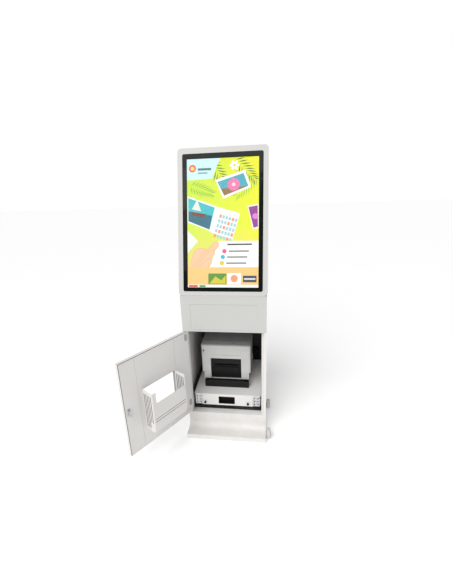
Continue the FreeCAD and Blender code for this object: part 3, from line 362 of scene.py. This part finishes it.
def add_piece(name, mesh, body):
    """An object at the origin for a finished mesh, riding on a body."""
    piece = bpy.data.objects.new(name, mesh)
    bpy.context.scene.collection.objects.link(piece)
    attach(piece, body)
    return piece


def new_piece(name, bm, material, body):
    """A piece from bm with one finish."""
    mesh = bpy.data.meshes.new(name)
    bm.to_mesh(mesh)
    bm.free()
    mesh.materials.append(material)
    return add_piece(name, mesh, body)


def repeat_tree():
    """Geometry Nodes that put one shape on each point, stretched by the point's span and turned."""
    group = bpy.data.node_groups.new("repeat", "GeometryNodeTree")
    face = group.interface
    inputs = (("Geometry", "Geometry"), ("Shape", "Object"), ("Turn", "Vector"), ("Size", "Float"),
              ("Finish", "Material"))
    for name, kind in inputs:
        face.new_socket(name, in_out="INPUT", socket_type="NodeSocket" + kind)
    face.new_socket("Geometry", in_out="OUTPUT", socket_type="NodeSocketGeometry")
    add = group.nodes.new
    entry, leave = add("NodeGroupInput"), add("NodeGroupOutput")
    shape, place = add("GeometryNodeObjectInfo"), add("GeometryNodeInstanceOnPoints")
    real, coat = add("GeometryNodeRealizeInstances"), add("GeometryNodeSetMaterial")
    span, stretch = add("GeometryNodeInputNamedAttribute"), add("ShaderNodeVectorMath")
    span.data_type = "FLOAT_VECTOR"
    span.inputs["Name"].default_value = "span"
    stretch.operation = "SCALE"
    link = group.links.new
    link(entry.outputs["Geometry"], place.inputs["Points"])
    link(entry.outputs["Shape"], shape.inputs["Object"])
    link(shape.outputs["Geometry"], place.inputs["Instance"])
    link(entry.outputs["Turn"], place.inputs["Rotation"])
    link(span.outputs["Attribute"], stretch.inputs[0])
    link(entry.outputs["Size"], stretch.inputs["Scale"])
    link(stretch.outputs["Vector"], place.inputs["Scale"])
    link(place.outputs["Instances"], real.inputs["Geometry"])
    link(real.outputs["Geometry"], coat.inputs["Geometry"])
    link(entry.outputs["Finish"], coat.inputs["Material"])
    link(coat.outputs["Geometry"], leave.inputs["Geometry"])
    return group


def repeated(context, name, bm, spots, finish, turn=(0.0, 0.0, 0.0)):
    """One plain mesh with the shape in bm on each spot, a pair of a point and a span."""
    links = context.scene.collection.objects.link
    mesh = bpy.data.meshes.new(name + "_shape")
    bm.to_mesh(mesh)
    bm.free()
    shape = bpy.data.objects.new(mesh.name, mesh)
    holder = bpy.data.objects.new("holder", bpy.data.meshes.new("holder"))
    holder.data.from_pydata([point for point, _ in spots], [], [])
    spans = holder.data.attributes.new("span", "FLOAT_VECTOR", "POINT")
    for item, (_, span) in zip(spans.data, spots):
        item.vector = span
    links(shape)
    links(holder)
    group = repeat_tree()
    rows = holder.modifiers.new("rows", "NODES")
    rows.node_group = group
    names = {item.name: item.identifier for item in group.interface.items_tree if item.in_out == "INPUT"}
    for key, value in (("Shape", shape), ("Turn", turn), ("Size", 1.0), ("Finish", finish)):
        rows[names[key]] = value
    context.view_layer.update()
    grown = bpy.data.meshes.new_from_object(holder.evaluated_get(context.evaluated_depsgraph_get()))
    grown.name = name
    if "span" in grown.attributes:
        grown.attributes.remove(grown.attributes["span"])
    holder.modifiers.remove(rows)
    for spare in (holder, shape):
        bpy.data.objects.remove(spare)
    return grown


def open_door(shut):
    """A point of the shut door, turned to where the door stands at rest."""
    pin = Vector(DOOR_PIN)
    return pin + Matrix.Rotation(-DOOR_OPEN, 3, "Z") @ (Vector(shut) - pin)


def dome(bm, centre, axis, radius, height, sides=20, recess=0.0):
    """A low rounded button: rings that close to a pole, with the pole sunk by an optional recess depth."""
    axis = Vector(axis).normalized()
    side = axis.orthogonal().normalized()
    turn = axis.cross(side)
    profile = [(1.0, 0.0), (1.0, 0.35), (0.93, 0.62), (0.78, 0.82), (0.5, 0.96), (0.26, 1.0)]
    rings = []
    for wide, tall in profile:
        ring = []
        for n in range(sides):
            angle = 2 * math.pi * n / sides
            spoke = side * math.cos(angle) + turn * math.sin(angle)
            ring.append(bm.verts.new(centre + spoke * radius * wide + axis * height * tall))
        rings.append(ring)
    for low, high in zip(rings, rings[1:]):
        for n in range(sides):
            bm.faces.new((low[n], low[(n + 1) % sides], high[(n + 1) % sides], high[n]))
    pole = bm.verts.new(centre + axis * (height - recess))
    for n in range(sides):
        bm.faces.new((rings[-1][n], rings[-1][(n + 1) % sides], pole))
    bm.faces.new(list(reversed(rings[0])))


# ------------------------------------------------------------------ settings
class KioskSizes(bpy.types.PropertyGroup):
    """Sizes of the added pieces."""

    head_tilt: bpy.props.FloatProperty(
        name="Head Tilt", description="How far the screen leans back", default=math.radians(14.5), subtype="ANGLE")
    glass_thickness: bpy.props.FloatProperty(
        name="Glass Thickness", description="Thickness of the touch glass", default=0.004, unit="LENGTH")
    picture_width: bpy.props.FloatProperty(
        name="Picture Width", description="Lit width of the display", default=0.3928, unit="LENGTH")
    picture_height: bpy.props.FloatProperty(
        name="Picture Height", description="Lit height of the display", default=0.6984, unit="LENGTH")
    picture_foot: bpy.props.FloatProperty(
        name="Picture Foot", description="Lit area above the glass's lower edge", default=0.0215, unit="LENGTH")
    picture_depth: bpy.props.FloatProperty(
        name="Picture Depth", description="Picture behind the face of the glass", default=0.0070, unit="LENGTH")
    screw_radius: bpy.props.FloatProperty(
        name="Screw Radius", description="Radius of a pan-head screw", default=0.003, unit="LENGTH")
    screw_height: bpy.props.FloatProperty(
        name="Screw Height", description="Height of a screw head", default=0.002, unit="LENGTH")
    edge_shade_radius: bpy.props.FloatProperty(
        name="Edge Shade Radius", description="Radius of the dark rod painted as shade on the door's edges", default=0.0014, unit="LENGTH")
    slot_shade_thickness: bpy.props.FloatProperty(
        name="Slot Shade Thickness", description="Thickness of the dark strips painted as shade in the pocket's slots", default=0.001, unit="LENGTH")
    lamp_radius: bpy.props.FloatProperty(
        name="Lamp Radius", description="Radius of a printer lamp", default=0.0024, unit="LENGTH")


class KioskColours(bpy.types.PropertyGroup):
    """Colours of the finishes."""

    cabinet: bpy.props.FloatVectorProperty(
        name="Cabinet Paint", description="Powder coat of the cabinet and door", default=(0.74, 0.725, 0.705),
        subtype="COLOR", size=3)
    # The neck and head paints are the cabinet's white coat darkened as painted shade for their shaded faces.
    neck: bpy.props.FloatVectorProperty(
        name="Neck Paint With Painted Shade", description="Cabinet coat darkened as painted shade for the neck sheet", default=(0.54, 0.545, 0.52), subtype="COLOR",
        size=3)
    head: bpy.props.FloatVectorProperty(
        name="Head Paint With Painted Shade", description="Cabinet coat darkened as painted shade for the head casing", default=(0.55, 0.54, 0.52), subtype="COLOR",
        size=3)
    printer: bpy.props.FloatVectorProperty(
        name="Printer Body", description="Plastic of the printer's body", default=(0.56, 0.56, 0.545), subtype="COLOR",
        size=3)
    printer_lid: bpy.props.FloatVectorProperty(
        name="Printer Lid", description="Plastic of the printer's lid", default=(0.33, 0.33, 0.325), subtype="COLOR",
        size=3)
    black: bpy.props.FloatVectorProperty(
        name="Black Plastic", description="Black mouldings", default=(0.007, 0.007, 0.007), subtype="COLOR", size=3)
    picture_light: bpy.props.FloatProperty(
        name="Picture Light", description="Brightness of the lit picture", default=1.18, min=0.0)


# ------------------------------------------------------------------ operators
class KIOSK_OT_finishes(bpy.types.Operator):
    """Gives every carried-over part its finish"""

    bl_idname = "kiosk.finishes"
    bl_label = "Part Finishes"

    def execute(self, context):
        sizes = context.scene.kiosk_sizes
        tint = context.scene.kiosk_colours
        finishes = {
            "painted_steel": powder_coat("cabinet_paint", tint.cabinet, 0.30),
            "galvanised": galvanised("galvanised_sheet", (0.60, 0.61, 0.62), 90.0),
            "zinc": galvanised("zinc_plate", (0.56, 0.57, 0.58), 900.0),
            "chrome": polished("lock_chrome", (0.66, 0.66, 0.68)),
            "touch_glass": printed_glass("touch_glass", sizes),
            "display": dark_cell("display_cell"),
            "circuit_board": circuit("circuit_board", (0.02, 0.12, 0.05)),
            "rubber": moulded("rubber", (0.02, 0.02, 0.02), 500.0, 0.75),
            "nylon": moulded("grey_nylon", (0.38, 0.38, 0.37), 800.0, 0.5),
            "roller_nylon": moulded("roller_nylon", (0.55, 0.545, 0.53), 700.0, 0.45),
            "black_plastic": moulded("black_moulding", tint.black, 1100.0, 0.42),
            "black_metal": moulded("black_enamel", (0.03, 0.03, 0.03), 900.0, 0.35),
            "printer_grey": moulded("printer_body", tint.printer, 1300.0, 0.42),
            "printer_dark": moulded("printer_lid", tint.printer_lid, 1300.0, 0.38),
            "paper": wound("paper_roll", (0.86, 0.85, 0.82), 900.0, 0.6),
            "ribbon_film": wound("ribbon_film", (0.09, 0.05, 0.1), 700.0, 0.2),
        }
        # the neck and head get darker copies of the cabinet's white coat, as painted shade
        own = {
            "neck_panel": powder_coat("neck_paint", tint.neck, 0.0),
            "head_bezel": powder_coat("head_paint", tint.head, 0.0),
        }
        own["neck_cover"] = own["neck_panel"]
        own["head_back_cover"] = own["head_bezel"]
        # the rear sheets keep the cabinet paint outside, and their inner faces are painted near black as painted shade
        for node in ("rear_panel", "rear_service_cover"):
            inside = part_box(node)[0][1] + PAINTED_SHADE_DEPTH
            own[node] = powder_coat(node + "_paint", tint.cabinet, 0.30, inside)
        for node, part in frame["nodes"].items():
            finish = own.get(node, finishes[FINISH_OF[node]])
            part.data.materials.clear()
            part.data.materials.append(finish)
        return {"FINISHED"}


class KIOSK_OT_picture(bpy.types.Operator):
    """Lays the lit picture on the display"""

    bl_idname = "kiosk.picture"
    bl_label = "Screen Picture"

    def flat(self, points, colour, edge=None):
        """One flat shape a little in front of the one before it. Points are millimetres on the lit area."""
        self.layer += 1
        sizes = self.sizes
        half = sizes.picture_width / 2
        corners = []
        for across, up in points:
            across = max(-half, min(half, across * MM))
            up = max(0.0, min(sizes.picture_height, up * MM))
            behind = sizes.picture_depth - self.layer * LAYER_GAP
            corners.append(self.bm.verts.new(on_head(sizes, across, sizes.picture_foot + up, behind)))
        face = self.bm.faces.new(corners)
        face.normal_update()
        if face.normal.y > 0:
            face.normal_flip()
        for n, loop in enumerate(face.loops):
            loop[self.tint] = (*(edge if edge and n % 2 else colour), 1.0)

    def disc(self, centre, radius, colour, sides=20, squeeze=1.0, turn=0.0):
        """A disc, or an ellipse when squeezed."""
        points = []
        for n in range(sides):
            angle = 2 * math.pi * n / sides
            x, y = radius * math.cos(angle), radius * squeeze * math.sin(angle)
            points.append((
                centre[0] + x * math.cos(turn) - y * math.sin(turn), centre[1] + x * math.sin(turn) + y * math.cos(turn)
            ))
        self.flat(points, colour)

    def bar(self, x0, y0, x1, y1, colour):
        """An upright rectangle between two corners."""
        self.flat([(x0, y0), (x1, y0), (x1, y1), (x0, y1)], colour)

    def frond(self, root, angle, length, colour, leaves=9):
        """A palm leaf: blades fanned along a stem."""
        for n in range(leaves):
            along = (n + 1) / leaves
            stem = (root[0] + length * along * math.cos(angle), root[1] + length * along * math.sin(angle))
            for side in (-1, 1):
                aim = angle + side * (1.05 - 0.55 * along)
                reach = length * 0.42 * (1.0 - 0.5 * abs(along - 0.45))
                tip = (stem[0] + reach * math.cos(aim), stem[1] + reach * math.sin(aim))
                wide = (-math.sin(aim) * 3.2, math.cos(aim) * 3.2)
                middle = ((stem[0] + tip[0]) / 2, (stem[1] + tip[1]) / 2)
                self.flat([stem, (middle[0] + wide[0], middle[1] + wide[1]), tip,
                           (middle[0] - wide[0], middle[1] - wide[1])], colour)

    def finger(self, start, end, radius, colour):
        """A rounded bar between two points."""
        along = math.atan2(end[1] - start[1], end[0] - start[0])
        points = []
        for centre, first in ((end, -math.pi / 2), (start, math.pi / 2)):
            for n in range(9):
                angle = along + first + math.pi * n / 8
                points.append((centre[0] + radius * math.cos(angle), centre[1] + radius * math.sin(angle)))
        self.flat(points, colour)

    def ground(self):
        """Lime at the top left, yellow to the right, pale orange at the foot, in a fine grid."""
        sizes = self.sizes
        corner = {
            (0, 1): screen_colour(196, 232, 44), (1, 1): screen_colour(238, 236, 12),
            (0, 0): screen_colour(255, 214, 150), (1, 0): screen_colour(255, 220, 120),
            (0, 0.5): screen_colour(206, 240, 66), (1, 0.5): screen_colour(240, 244, 44),
        }

        def tone(u, v):
            low, high, part = ((0, 0.5, v * 2) if v < 0.5 else (0.5, 1, v * 2 - 1))
            rows = []
            for level in (low, high):
                rows.append([a + (b - a) * u for a, b in zip(corner[(0, level)], corner[(1, level)])])
            return tuple(a + (b - a) * part for a, b in zip(*rows)) + (1.0,)

        across, upward = 12, 24
        grid = [[self.bm.verts.new(on_head(
            sizes, sizes.picture_width * (i / across - 0.5), sizes.picture_foot + sizes.picture_height * j / upward,
            sizes.picture_depth)) for i in range(across + 1)] for j in range(upward + 1)]
        for j in range(upward):
            for i in range(across):
                face = self.bm.faces.new((grid[j][i], grid[j][i + 1], grid[j + 1][i + 1], grid[j + 1][i]))
                face.normal_update()
                spots = {(0, 0): (i, j), (1, 0): (i + 1, j), (1, 1): (i + 1, j + 1), (0, 1): (i, j + 1)}
                for loop in face.loops:
                    for at in spots.values():
                        if loop.vert is grid[at[1]][at[0]]:
                            loop[self.tint] = tone(at[0] / across, at[1] / upward)

    def cards(self):
        """Leaves, a flower and tilted cards on the upper part."""
        white = screen_colour(250, 250, 248)
        cyan = screen_colour(60, 190, 200)
        pink = screen_colour(240, 120, 170)
        leaf = screen_colour(40, 112, 62)
        self.frond((-70, 690), -1.0, 150, leaf)
        self.frond((60, 698), -0.8, 150, leaf)
        self.frond((-190, 560), -0.35, 130, screen_colour(120, 190, 60))
        self.frond((190, 600), -2.4, 140, screen_colour(150, 205, 60))
        self.flat([(-196, 698), (-10, 698), (-31, 655), (-56, 591), (-196, 586)], screen_colour(206, 240, 240))
        self.disc((-165, 648), 20, screen_colour(235, 90, 90))
        self.disc((-165, 648), 11, screen_colour(250, 220, 90))
        self.bar(-135, 636, -62, 648, screen_colour(40, 120, 130))
        self.bar(-135, 618, -82, 626, screen_colour(120, 170, 175))
        for turn in range(6):
            angle = turn * math.pi / 3
            self.disc((66 + 15 * math.cos(angle), 657 + 15 * math.sin(angle)), 13, white, 12, 0.6, angle)
        self.disc((66, 657), 7, screen_colour(250, 210, 60))
        self.flat([(-39, 583), (122, 631), (154, 540), (4, 482)], white)
        self.flat([(-28, 572), (114, 614), (140, 546), (10, 498)], screen_colour(70, 170, 190))
        self.flat([(-28, 572), (-8, 535), (140, 546), (10, 498)], screen_colour(150, 110, 70))
        for turn in range(7):
            angle = turn * math.pi / 3.5
            self.disc((61 + 17 * math.cos(angle), 556 + 17 * math.sin(angle)), 17, pink, 14)
        self.disc((61, 556), 10, screen_colour(255, 220, 235))
        self.flat([(-194, 501), (-34, 444), (-68, 309), (-194, 360)], white)
        self.flat([(-190, 492), (-42, 436), (-72, 318), (-190, 366)], cyan)
        self.flat([(-190, 420), (-58, 392), (-72, 318), (-190, 366)], screen_colour(40, 110, 130))
        self.flat([(-170, 430), (-140, 480), (-118, 418)], screen_colour(235, 235, 220))
        self.flat([(-178, 418), (-90, 402), (-100, 386), (-165, 394)], screen_colour(120, 70, 40))
        self.flat([(-36, 442), (96, 402), (53, 258), (-75, 308)], white)
        for row in range(5):
            for column in range(6):
                x = -14 + column * 17 - row * 8
                y = 400 - row * 26 - column * 5
                self.flat([(x, y), (x + 12, y - 4), (x + 7, y - 21), (x - 5, y - 17)],
                          screen_colour(160, 210, 218) if (row + column) % 4 else screen_colour(240, 150, 120))
        self.flat([(136, 441), (194, 450), (196, 322), (165, 315)], white)
        self.flat([(141, 434), (190, 442), (192, 330), (169, 323)], screen_colour(150, 60, 150))
        self.disc((178, 385), 16, screen_colour(225, 130, 210), 16)
        self.flat([(-196, 316), (-136, 256), (-196, 190)], screen_colour(240, 244, 236))

    def lower(self):
        """A list, a pointing hand and a strip of small cards on the lower part."""
        white = screen_colour(252, 252, 250)
        skin = screen_colour(250, 204, 164)
        fold = screen_colour(226, 166, 122)
        self.flat([(-24, 256), (196, 254), (196, 112), (-71, 112)], white)
        self.bar(26, 232, 160, 240, screen_colour(60, 60, 60))
        tones = [screen_colour(240, 90, 140), screen_colour(70, 190, 220), screen_colour(240, 200, 60)]
        for (x, y), tone in zip(((10, 200), (1, 168), (-4, 135)), tones):
            self.disc((x, y), 12, tone)
            self.bar(x + 24, y - 4, x + 24 + 110, y + 3, screen_colour(110, 110, 110))
        for start, end, radius in (((-230, 50), (-120, 165), 52), ((-150, 120), (-35, 236), 15),
                                   ((-150, 92), (-62, 190), 17), ((-160, 66), (-78, 142), 17)):
            self.finger(start, end, radius + 2, fold)
            self.finger(start, end, radius, skin)
        self.disc((-38, 232), 8, screen_colour(250, 214, 190), 14, 0.7, 0.8)
        self.flat([(-196, 112), (196, 112), (196, 16), (-196, 16)], screen_colour(255, 206, 130))
        self.bar(-80, 18, 21, 78, screen_colour(96, 150, 60))
        self.flat([(-74, 22), (-40, 62), (-8, 40), (16, 66), (16, 22)], screen_colour(214, 204, 60))
        self.bar(26, 18, 102, 80, white)
        self.disc((64, 50), 20, screen_colour(246, 160, 120), 18)
        self.bar(112, 30, 186, 66, screen_colour(70, 80, 90))
        self.bar(118, 44, 180, 52, screen_colour(235, 235, 235))
        self.bar(-196, 0, 196, 16, screen_colour(244, 246, 244))
        self.bar(-190, 3, -140, 13, screen_colour(214, 60, 60))
        self.bar(-130, 3, -96, 13, screen_colour(40, 160, 90))

    def execute(self, context):
        self.sizes = context.scene.kiosk_sizes
        self.layer = 0
        self.bm = bmesh.new()
        self.tint = self.bm.loops.layers.float_color.new("tint")
        self.ground()
        self.cards()
        self.lower()
        glow = lit_picture("lit_picture", context.scene.kiosk_colours.picture_light)
        new_piece("screen_picture", self.bm, glow, "root")
        return {"FINISHED"}


class KIOSK_OT_screws(bpy.types.Operator):
    """Puts pan-head screws round the rear service cover"""

    bl_idname = "kiosk.screws"
    bl_label = "Cover Screws"

    def execute(self, context):
        sizes = context.scene.kiosk_sizes
        low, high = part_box("service_cover_screws")
        radius = sizes.screw_radius
        spots = [((x, low[1], z), (1.0, 1.0, 1.0)) for x in (low[0] + radius, high[0] - radius)
                 for z in (low[2] + radius, (low[2] + high[2]) / 2, high[2] - radius)]
        bm = bmesh.new()
        dome(bm, Vector((0, 0, 0)), (0, 0, 1), radius, sizes.screw_height, 24, sizes.screw_height * 0.4)
        finish = galvanised("screw_zinc", (0.6, 0.61, 0.62), 1200.0)
        mesh = repeated(context, "cover_screws", bm, spots, finish, (-math.pi / 2, 0.0, 0.0))
        screws = add_piece("cover_screws", mesh, "root")
        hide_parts("service_cover_screws")
        return {"FINISHED"}


class KIOSK_OT_door_edge_shade(bpy.types.Operator):
    """Runs a near black rod along the door's top and free edges, painted shade for their shaded edges"""

    bl_idname = "kiosk.door_seal"
    bl_label = "Door Edge Painted Shade"

    def execute(self, context):
        radius = context.scene.kiosk_sizes.edge_shade_radius
        low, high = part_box("door_panel")
        far, top, foot = DOOR_FREE_EDGE - radius, high[2] - radius, low[2] + EDGE_SHADE_END_GAP
        corners = ((EDGE_SHADE_START, top), (far, top), (far, foot))
        path = [open_door((x, DOOR_INNER_FACE, z)) for x, z in corners]
        bm = bmesh.new()
        sides = 8
        for a, b in zip(path, path[1:]):
            direction = (b - a).normalized()
            side = direction.orthogonal().normalized()
            turn = direction.cross(side)
            rings = []
            for centre in (a, b):
                ring = []
                for n in range(sides):
                    angle = 2 * math.pi * n / sides
                    ring.append(bm.verts.new(centre + (side * math.cos(angle) + turn * math.sin(angle)) * radius))
                rings.append(ring)
            for n in range(sides):
                bm.faces.new((rings[0][n], rings[0][(n + 1) % sides], rings[1][(n + 1) % sides], rings[1][n]))
            bm.faces.new(list(reversed(rings[0])))
            bm.faces.new(rings[1])
        bmesh.ops.recalc_face_normals(bm, faces=bm.faces)
        # painted shade: a near black rod where the door's edges look dark
        new_piece("door_edge_bead", bm, moulded("edge_bead", (0.03, 0.03, 0.03), 700.0, 0.6), "door")
        return {"FINISHED"}


class KIOSK_OT_slot_painted_shade(bpy.types.Operator):
    """Lines the slots of the print pocket with near black strips, painted shade for the dark inside seen through them
    """

    bl_idname = "kiosk.slot_trim"
    bl_label = "Pocket Slot Painted Shade"

    def execute(self, context):
        shade_thickness = context.scene.kiosk_sizes.slot_shade_thickness
        spots = []
        for low, high in self.slots(shade_thickness):
            low, high = Vector(low), Vector(high)
            spots.append((open_door((low + high) / 2), high - low))
        bm = bmesh.new()
        bmesh.ops.create_cube(bm, size=1.0)
        # painted shade: near black strips make the slots read dark
        finish = moulded("slot_trim", (0.02, 0.02, 0.02), 900.0, 0.6)
        mesh = repeated(context, "pocket_slot_trim", bm, spots, finish, (0.0, 0.0, -DOOR_OPEN))
        add_piece("pocket_slot_trim", mesh, "door")
        return {"FINISHED"}

    def slots(self, shade_thickness):
        """Low and high corner of each strip, with the door shut."""
        boxes = []
        inner = POCKET_BACK - POCKET_SHEET
        left, right = POCKET_LEFT + PRINT_SLOT_MARGIN, POCKET_RIGHT - PRINT_SLOT_MARGIN
        for foot in PRINT_SLOT_FEET:
            boxes.append(((left, inner + SLOT_SHADE_INSET, foot), (right, inner + shade_thickness, foot + PRINT_SLOT_HEIGHT)))
        pitch = (POCKET_BACK - POCKET_FRONT - SIDE_SLOT_SPARE) / SIDE_SLOT_COUNT
        for step in range(SIDE_SLOT_COUNT):
            near = POCKET_FRONT + SIDE_SLOT_START + step * pitch
            foot = SIDE_SLOT_FOOT + RAISED_BY * (step >= SIDE_SLOT_COUNT - RAISED_SLOTS)
            for wall in (POCKET_LEFT - POCKET_SHEET, POCKET_RIGHT):
                boxes.append(((wall + SLOT_SHADE_INSET, near, foot), (wall + shade_thickness, near + SIDE_SLOT_WIDTH, SIDE_SLOT_TOP)))
        return boxes


class KIOSK_OT_lamps(bpy.types.Operator):
    """Sets the printer's indicator lamps in its front"""

    bl_idname = "kiosk.lamps"
    bl_label = "Printer Lamps"

    def execute(self, context):
        radius = context.scene.kiosk_sizes.lamp_radius
        low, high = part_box("printer_button")
        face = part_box("printer_front_panel")[0][1]
        across = (low[0] + high[0]) / 2
        spots = [((across, face, low[2] - LAMP_DROP - LAMP_PITCH * step), (1.0, 1.0, 1.0))
                 for step in range(LAMP_COUNT)]
        bm = bmesh.new()
        dome(bm, Vector((0, 0, 0)), (0, -1, 0), radius, radius * LAMP_RISE, 16)
        mesh = repeated(context, "printer_lamps", bm, spots, indicator("lamp_lens", (0.20, 0.55, 0.35), 0.35))
        add_piece("printer_lamps", mesh, "tray")
        return {"FINISHED"}


class KIOSK_OT_stage(bpy.types.Operator):
    """Lays the floor, hangs the lights and sets the camera"""

    bl_idname = "kiosk.stage"
    bl_label = "Studio"

    def execute(self, context):
        scene = context.scene
        floor_mesh = bpy.data.meshes.new("floor")
        corners = [(x * FLOOR_REACH, y * FLOOR_REACH, 0) for x, y in ((-1, -1), (1, -1), (1, 1), (-1, 1))]
        floor_mesh.from_pydata(corners, [], [(0, 1, 2, 3)])
        floor = bpy.data.objects.new("floor", floor_mesh)
        scene.collection.objects.link(floor)
        net = Net("pale_floor")
        floor_mesh.materials.append(net.finish({
            "Base Color": net.blend(net.noise(net.place(), 2.0), (0.95, 0.95, 0.95), (0.97, 0.97, 0.97)),
            "Roughness": 0.9, "Specular IOR Level": 0.1, "Emission Color": (1.0, 1.0, 1.0, 1.0),
            "Emission Strength": 0.13,
        }))
        self.sky(scene)
        sun = bpy.data.lights.new("sun", "SUN")
        sun.energy = 2.0
        sun.angle = math.radians(50.0)
        beam = bpy.data.objects.new("sun", sun)
        beam.rotation_euler = Vector(SUN_BEAM).to_track_quat("-Z", "Y").to_euler()
        scene.collection.objects.link(beam)
        for name, spot, power, size in LAMPS:
            lamp = bpy.data.lights.new(name, "AREA")
            lamp.energy = power
            lamp.size = size
            light = bpy.data.objects.new(name, lamp)
            light.location = spot
            light.rotation_euler = (Vector(AIM) - Vector(spot)).to_track_quat("-Z", "Y").to_euler()
            scene.collection.objects.link(light)
        self.camera(scene)
        scene.view_settings.view_transform = "Standard"
        return {"FINISHED"}

    def sky(self, scene):
        """A white backdrop that lights the room more softly than it looks."""
        world = bpy.data.worlds.new("studio")
        world.use_nodes = True
        tree = world.node_tree
        sky = tree.nodes["Background"]
        seen, level = tree.nodes.new("ShaderNodeLightPath"), tree.nodes.new("ShaderNodeMapRange")
        level.inputs["To Min"].default_value = SKY_LIGHT
        level.inputs["To Max"].default_value = SKY_SEEN
        tree.links.new(seen.outputs["Is Camera Ray"], level.inputs["Value"])
        tree.links.new(level.outputs["Result"], sky.inputs["Strength"])
        sky.inputs["Color"].default_value = (1.0, 1.0, 1.0, 1.0)
        scene.world = world

    def camera(self, scene):
        """A short lens at eye height, a little to the kiosk's right and looking down."""
        yaw, pitch, roll = EYE_YAW, EYE_PITCH, EYE_ROLL
        ahead = Vector((-math.sin(yaw) * math.cos(pitch), math.cos(yaw) * math.cos(pitch), -math.sin(pitch)))
        right = Vector((math.cos(yaw), math.sin(yaw), 0.0))
        up = right.cross(ahead)
        tilted = right * math.cos(roll) + up * math.sin(roll)
        rise = up * math.cos(roll) - right * math.sin(roll)
        lens = bpy.data.cameras.new("camera")
        lens.sensor_fit = "HORIZONTAL"
        lens.sensor_width = EYE_SENSOR
        lens.lens = EYE_LENS
        eye = bpy.data.objects.new("camera", lens)
        turn = Matrix((tilted, rise, -ahead)).transposed().to_4x4()
        eye.matrix_world = Matrix.Translation(EYE) @ turn
        scene.collection.objects.link(eye)
        scene.camera = eye


class KIOSK_PT_panel(bpy.types.Panel):
    """Kiosk tools"""

    bl_label = "Print Kiosk"
    bl_idname = "KIOSK_PT_panel"
    bl_space_type = "VIEW_3D"
    bl_region_type = "UI"
    bl_category = "Kiosk"

    def draw(self, context):
        for operator in OPERATORS:
            self.layout.operator(operator.bl_idname)
        for group in (context.scene.kiosk_sizes, context.scene.kiosk_colours):
            box = self.layout.box()
            for name in group.__annotations__:
                box.prop(group, name)


OPERATORS = (
    KIOSK_OT_finishes,
    KIOSK_OT_picture,
    KIOSK_OT_screws,
    KIOSK_OT_door_edge_shade,
    KIOSK_OT_slot_painted_shade,
    KIOSK_OT_lamps,
    KIOSK_OT_stage,
)
CLASSES = (KioskSizes, KioskColours, *OPERATORS, KIOSK_PT_panel)


def register():
    for item in CLASSES:
        bpy.utils.register_class(item)
    bpy.types.Scene.kiosk_sizes = bpy.props.PointerProperty(type=KioskSizes)
    bpy.types.Scene.kiosk_colours = bpy.props.PointerProperty(type=KioskColours)


def unregister():
    del bpy.types.Scene.kiosk_colours
    del bpy.types.Scene.kiosk_sizes
    for item in reversed(CLASSES):
        bpy.utils.unregister_class(item)


def main():
    register()
    bpy.ops.kiosk.finishes()
    bpy.ops.kiosk.picture()
    bpy.ops.kiosk.screws()
    bpy.ops.kiosk.door_seal()
    bpy.ops.kiosk.slot_trim()
    bpy.ops.kiosk.lamps()
    bpy.ops.kiosk.stage()


if __name__ == "__main__":
    main()
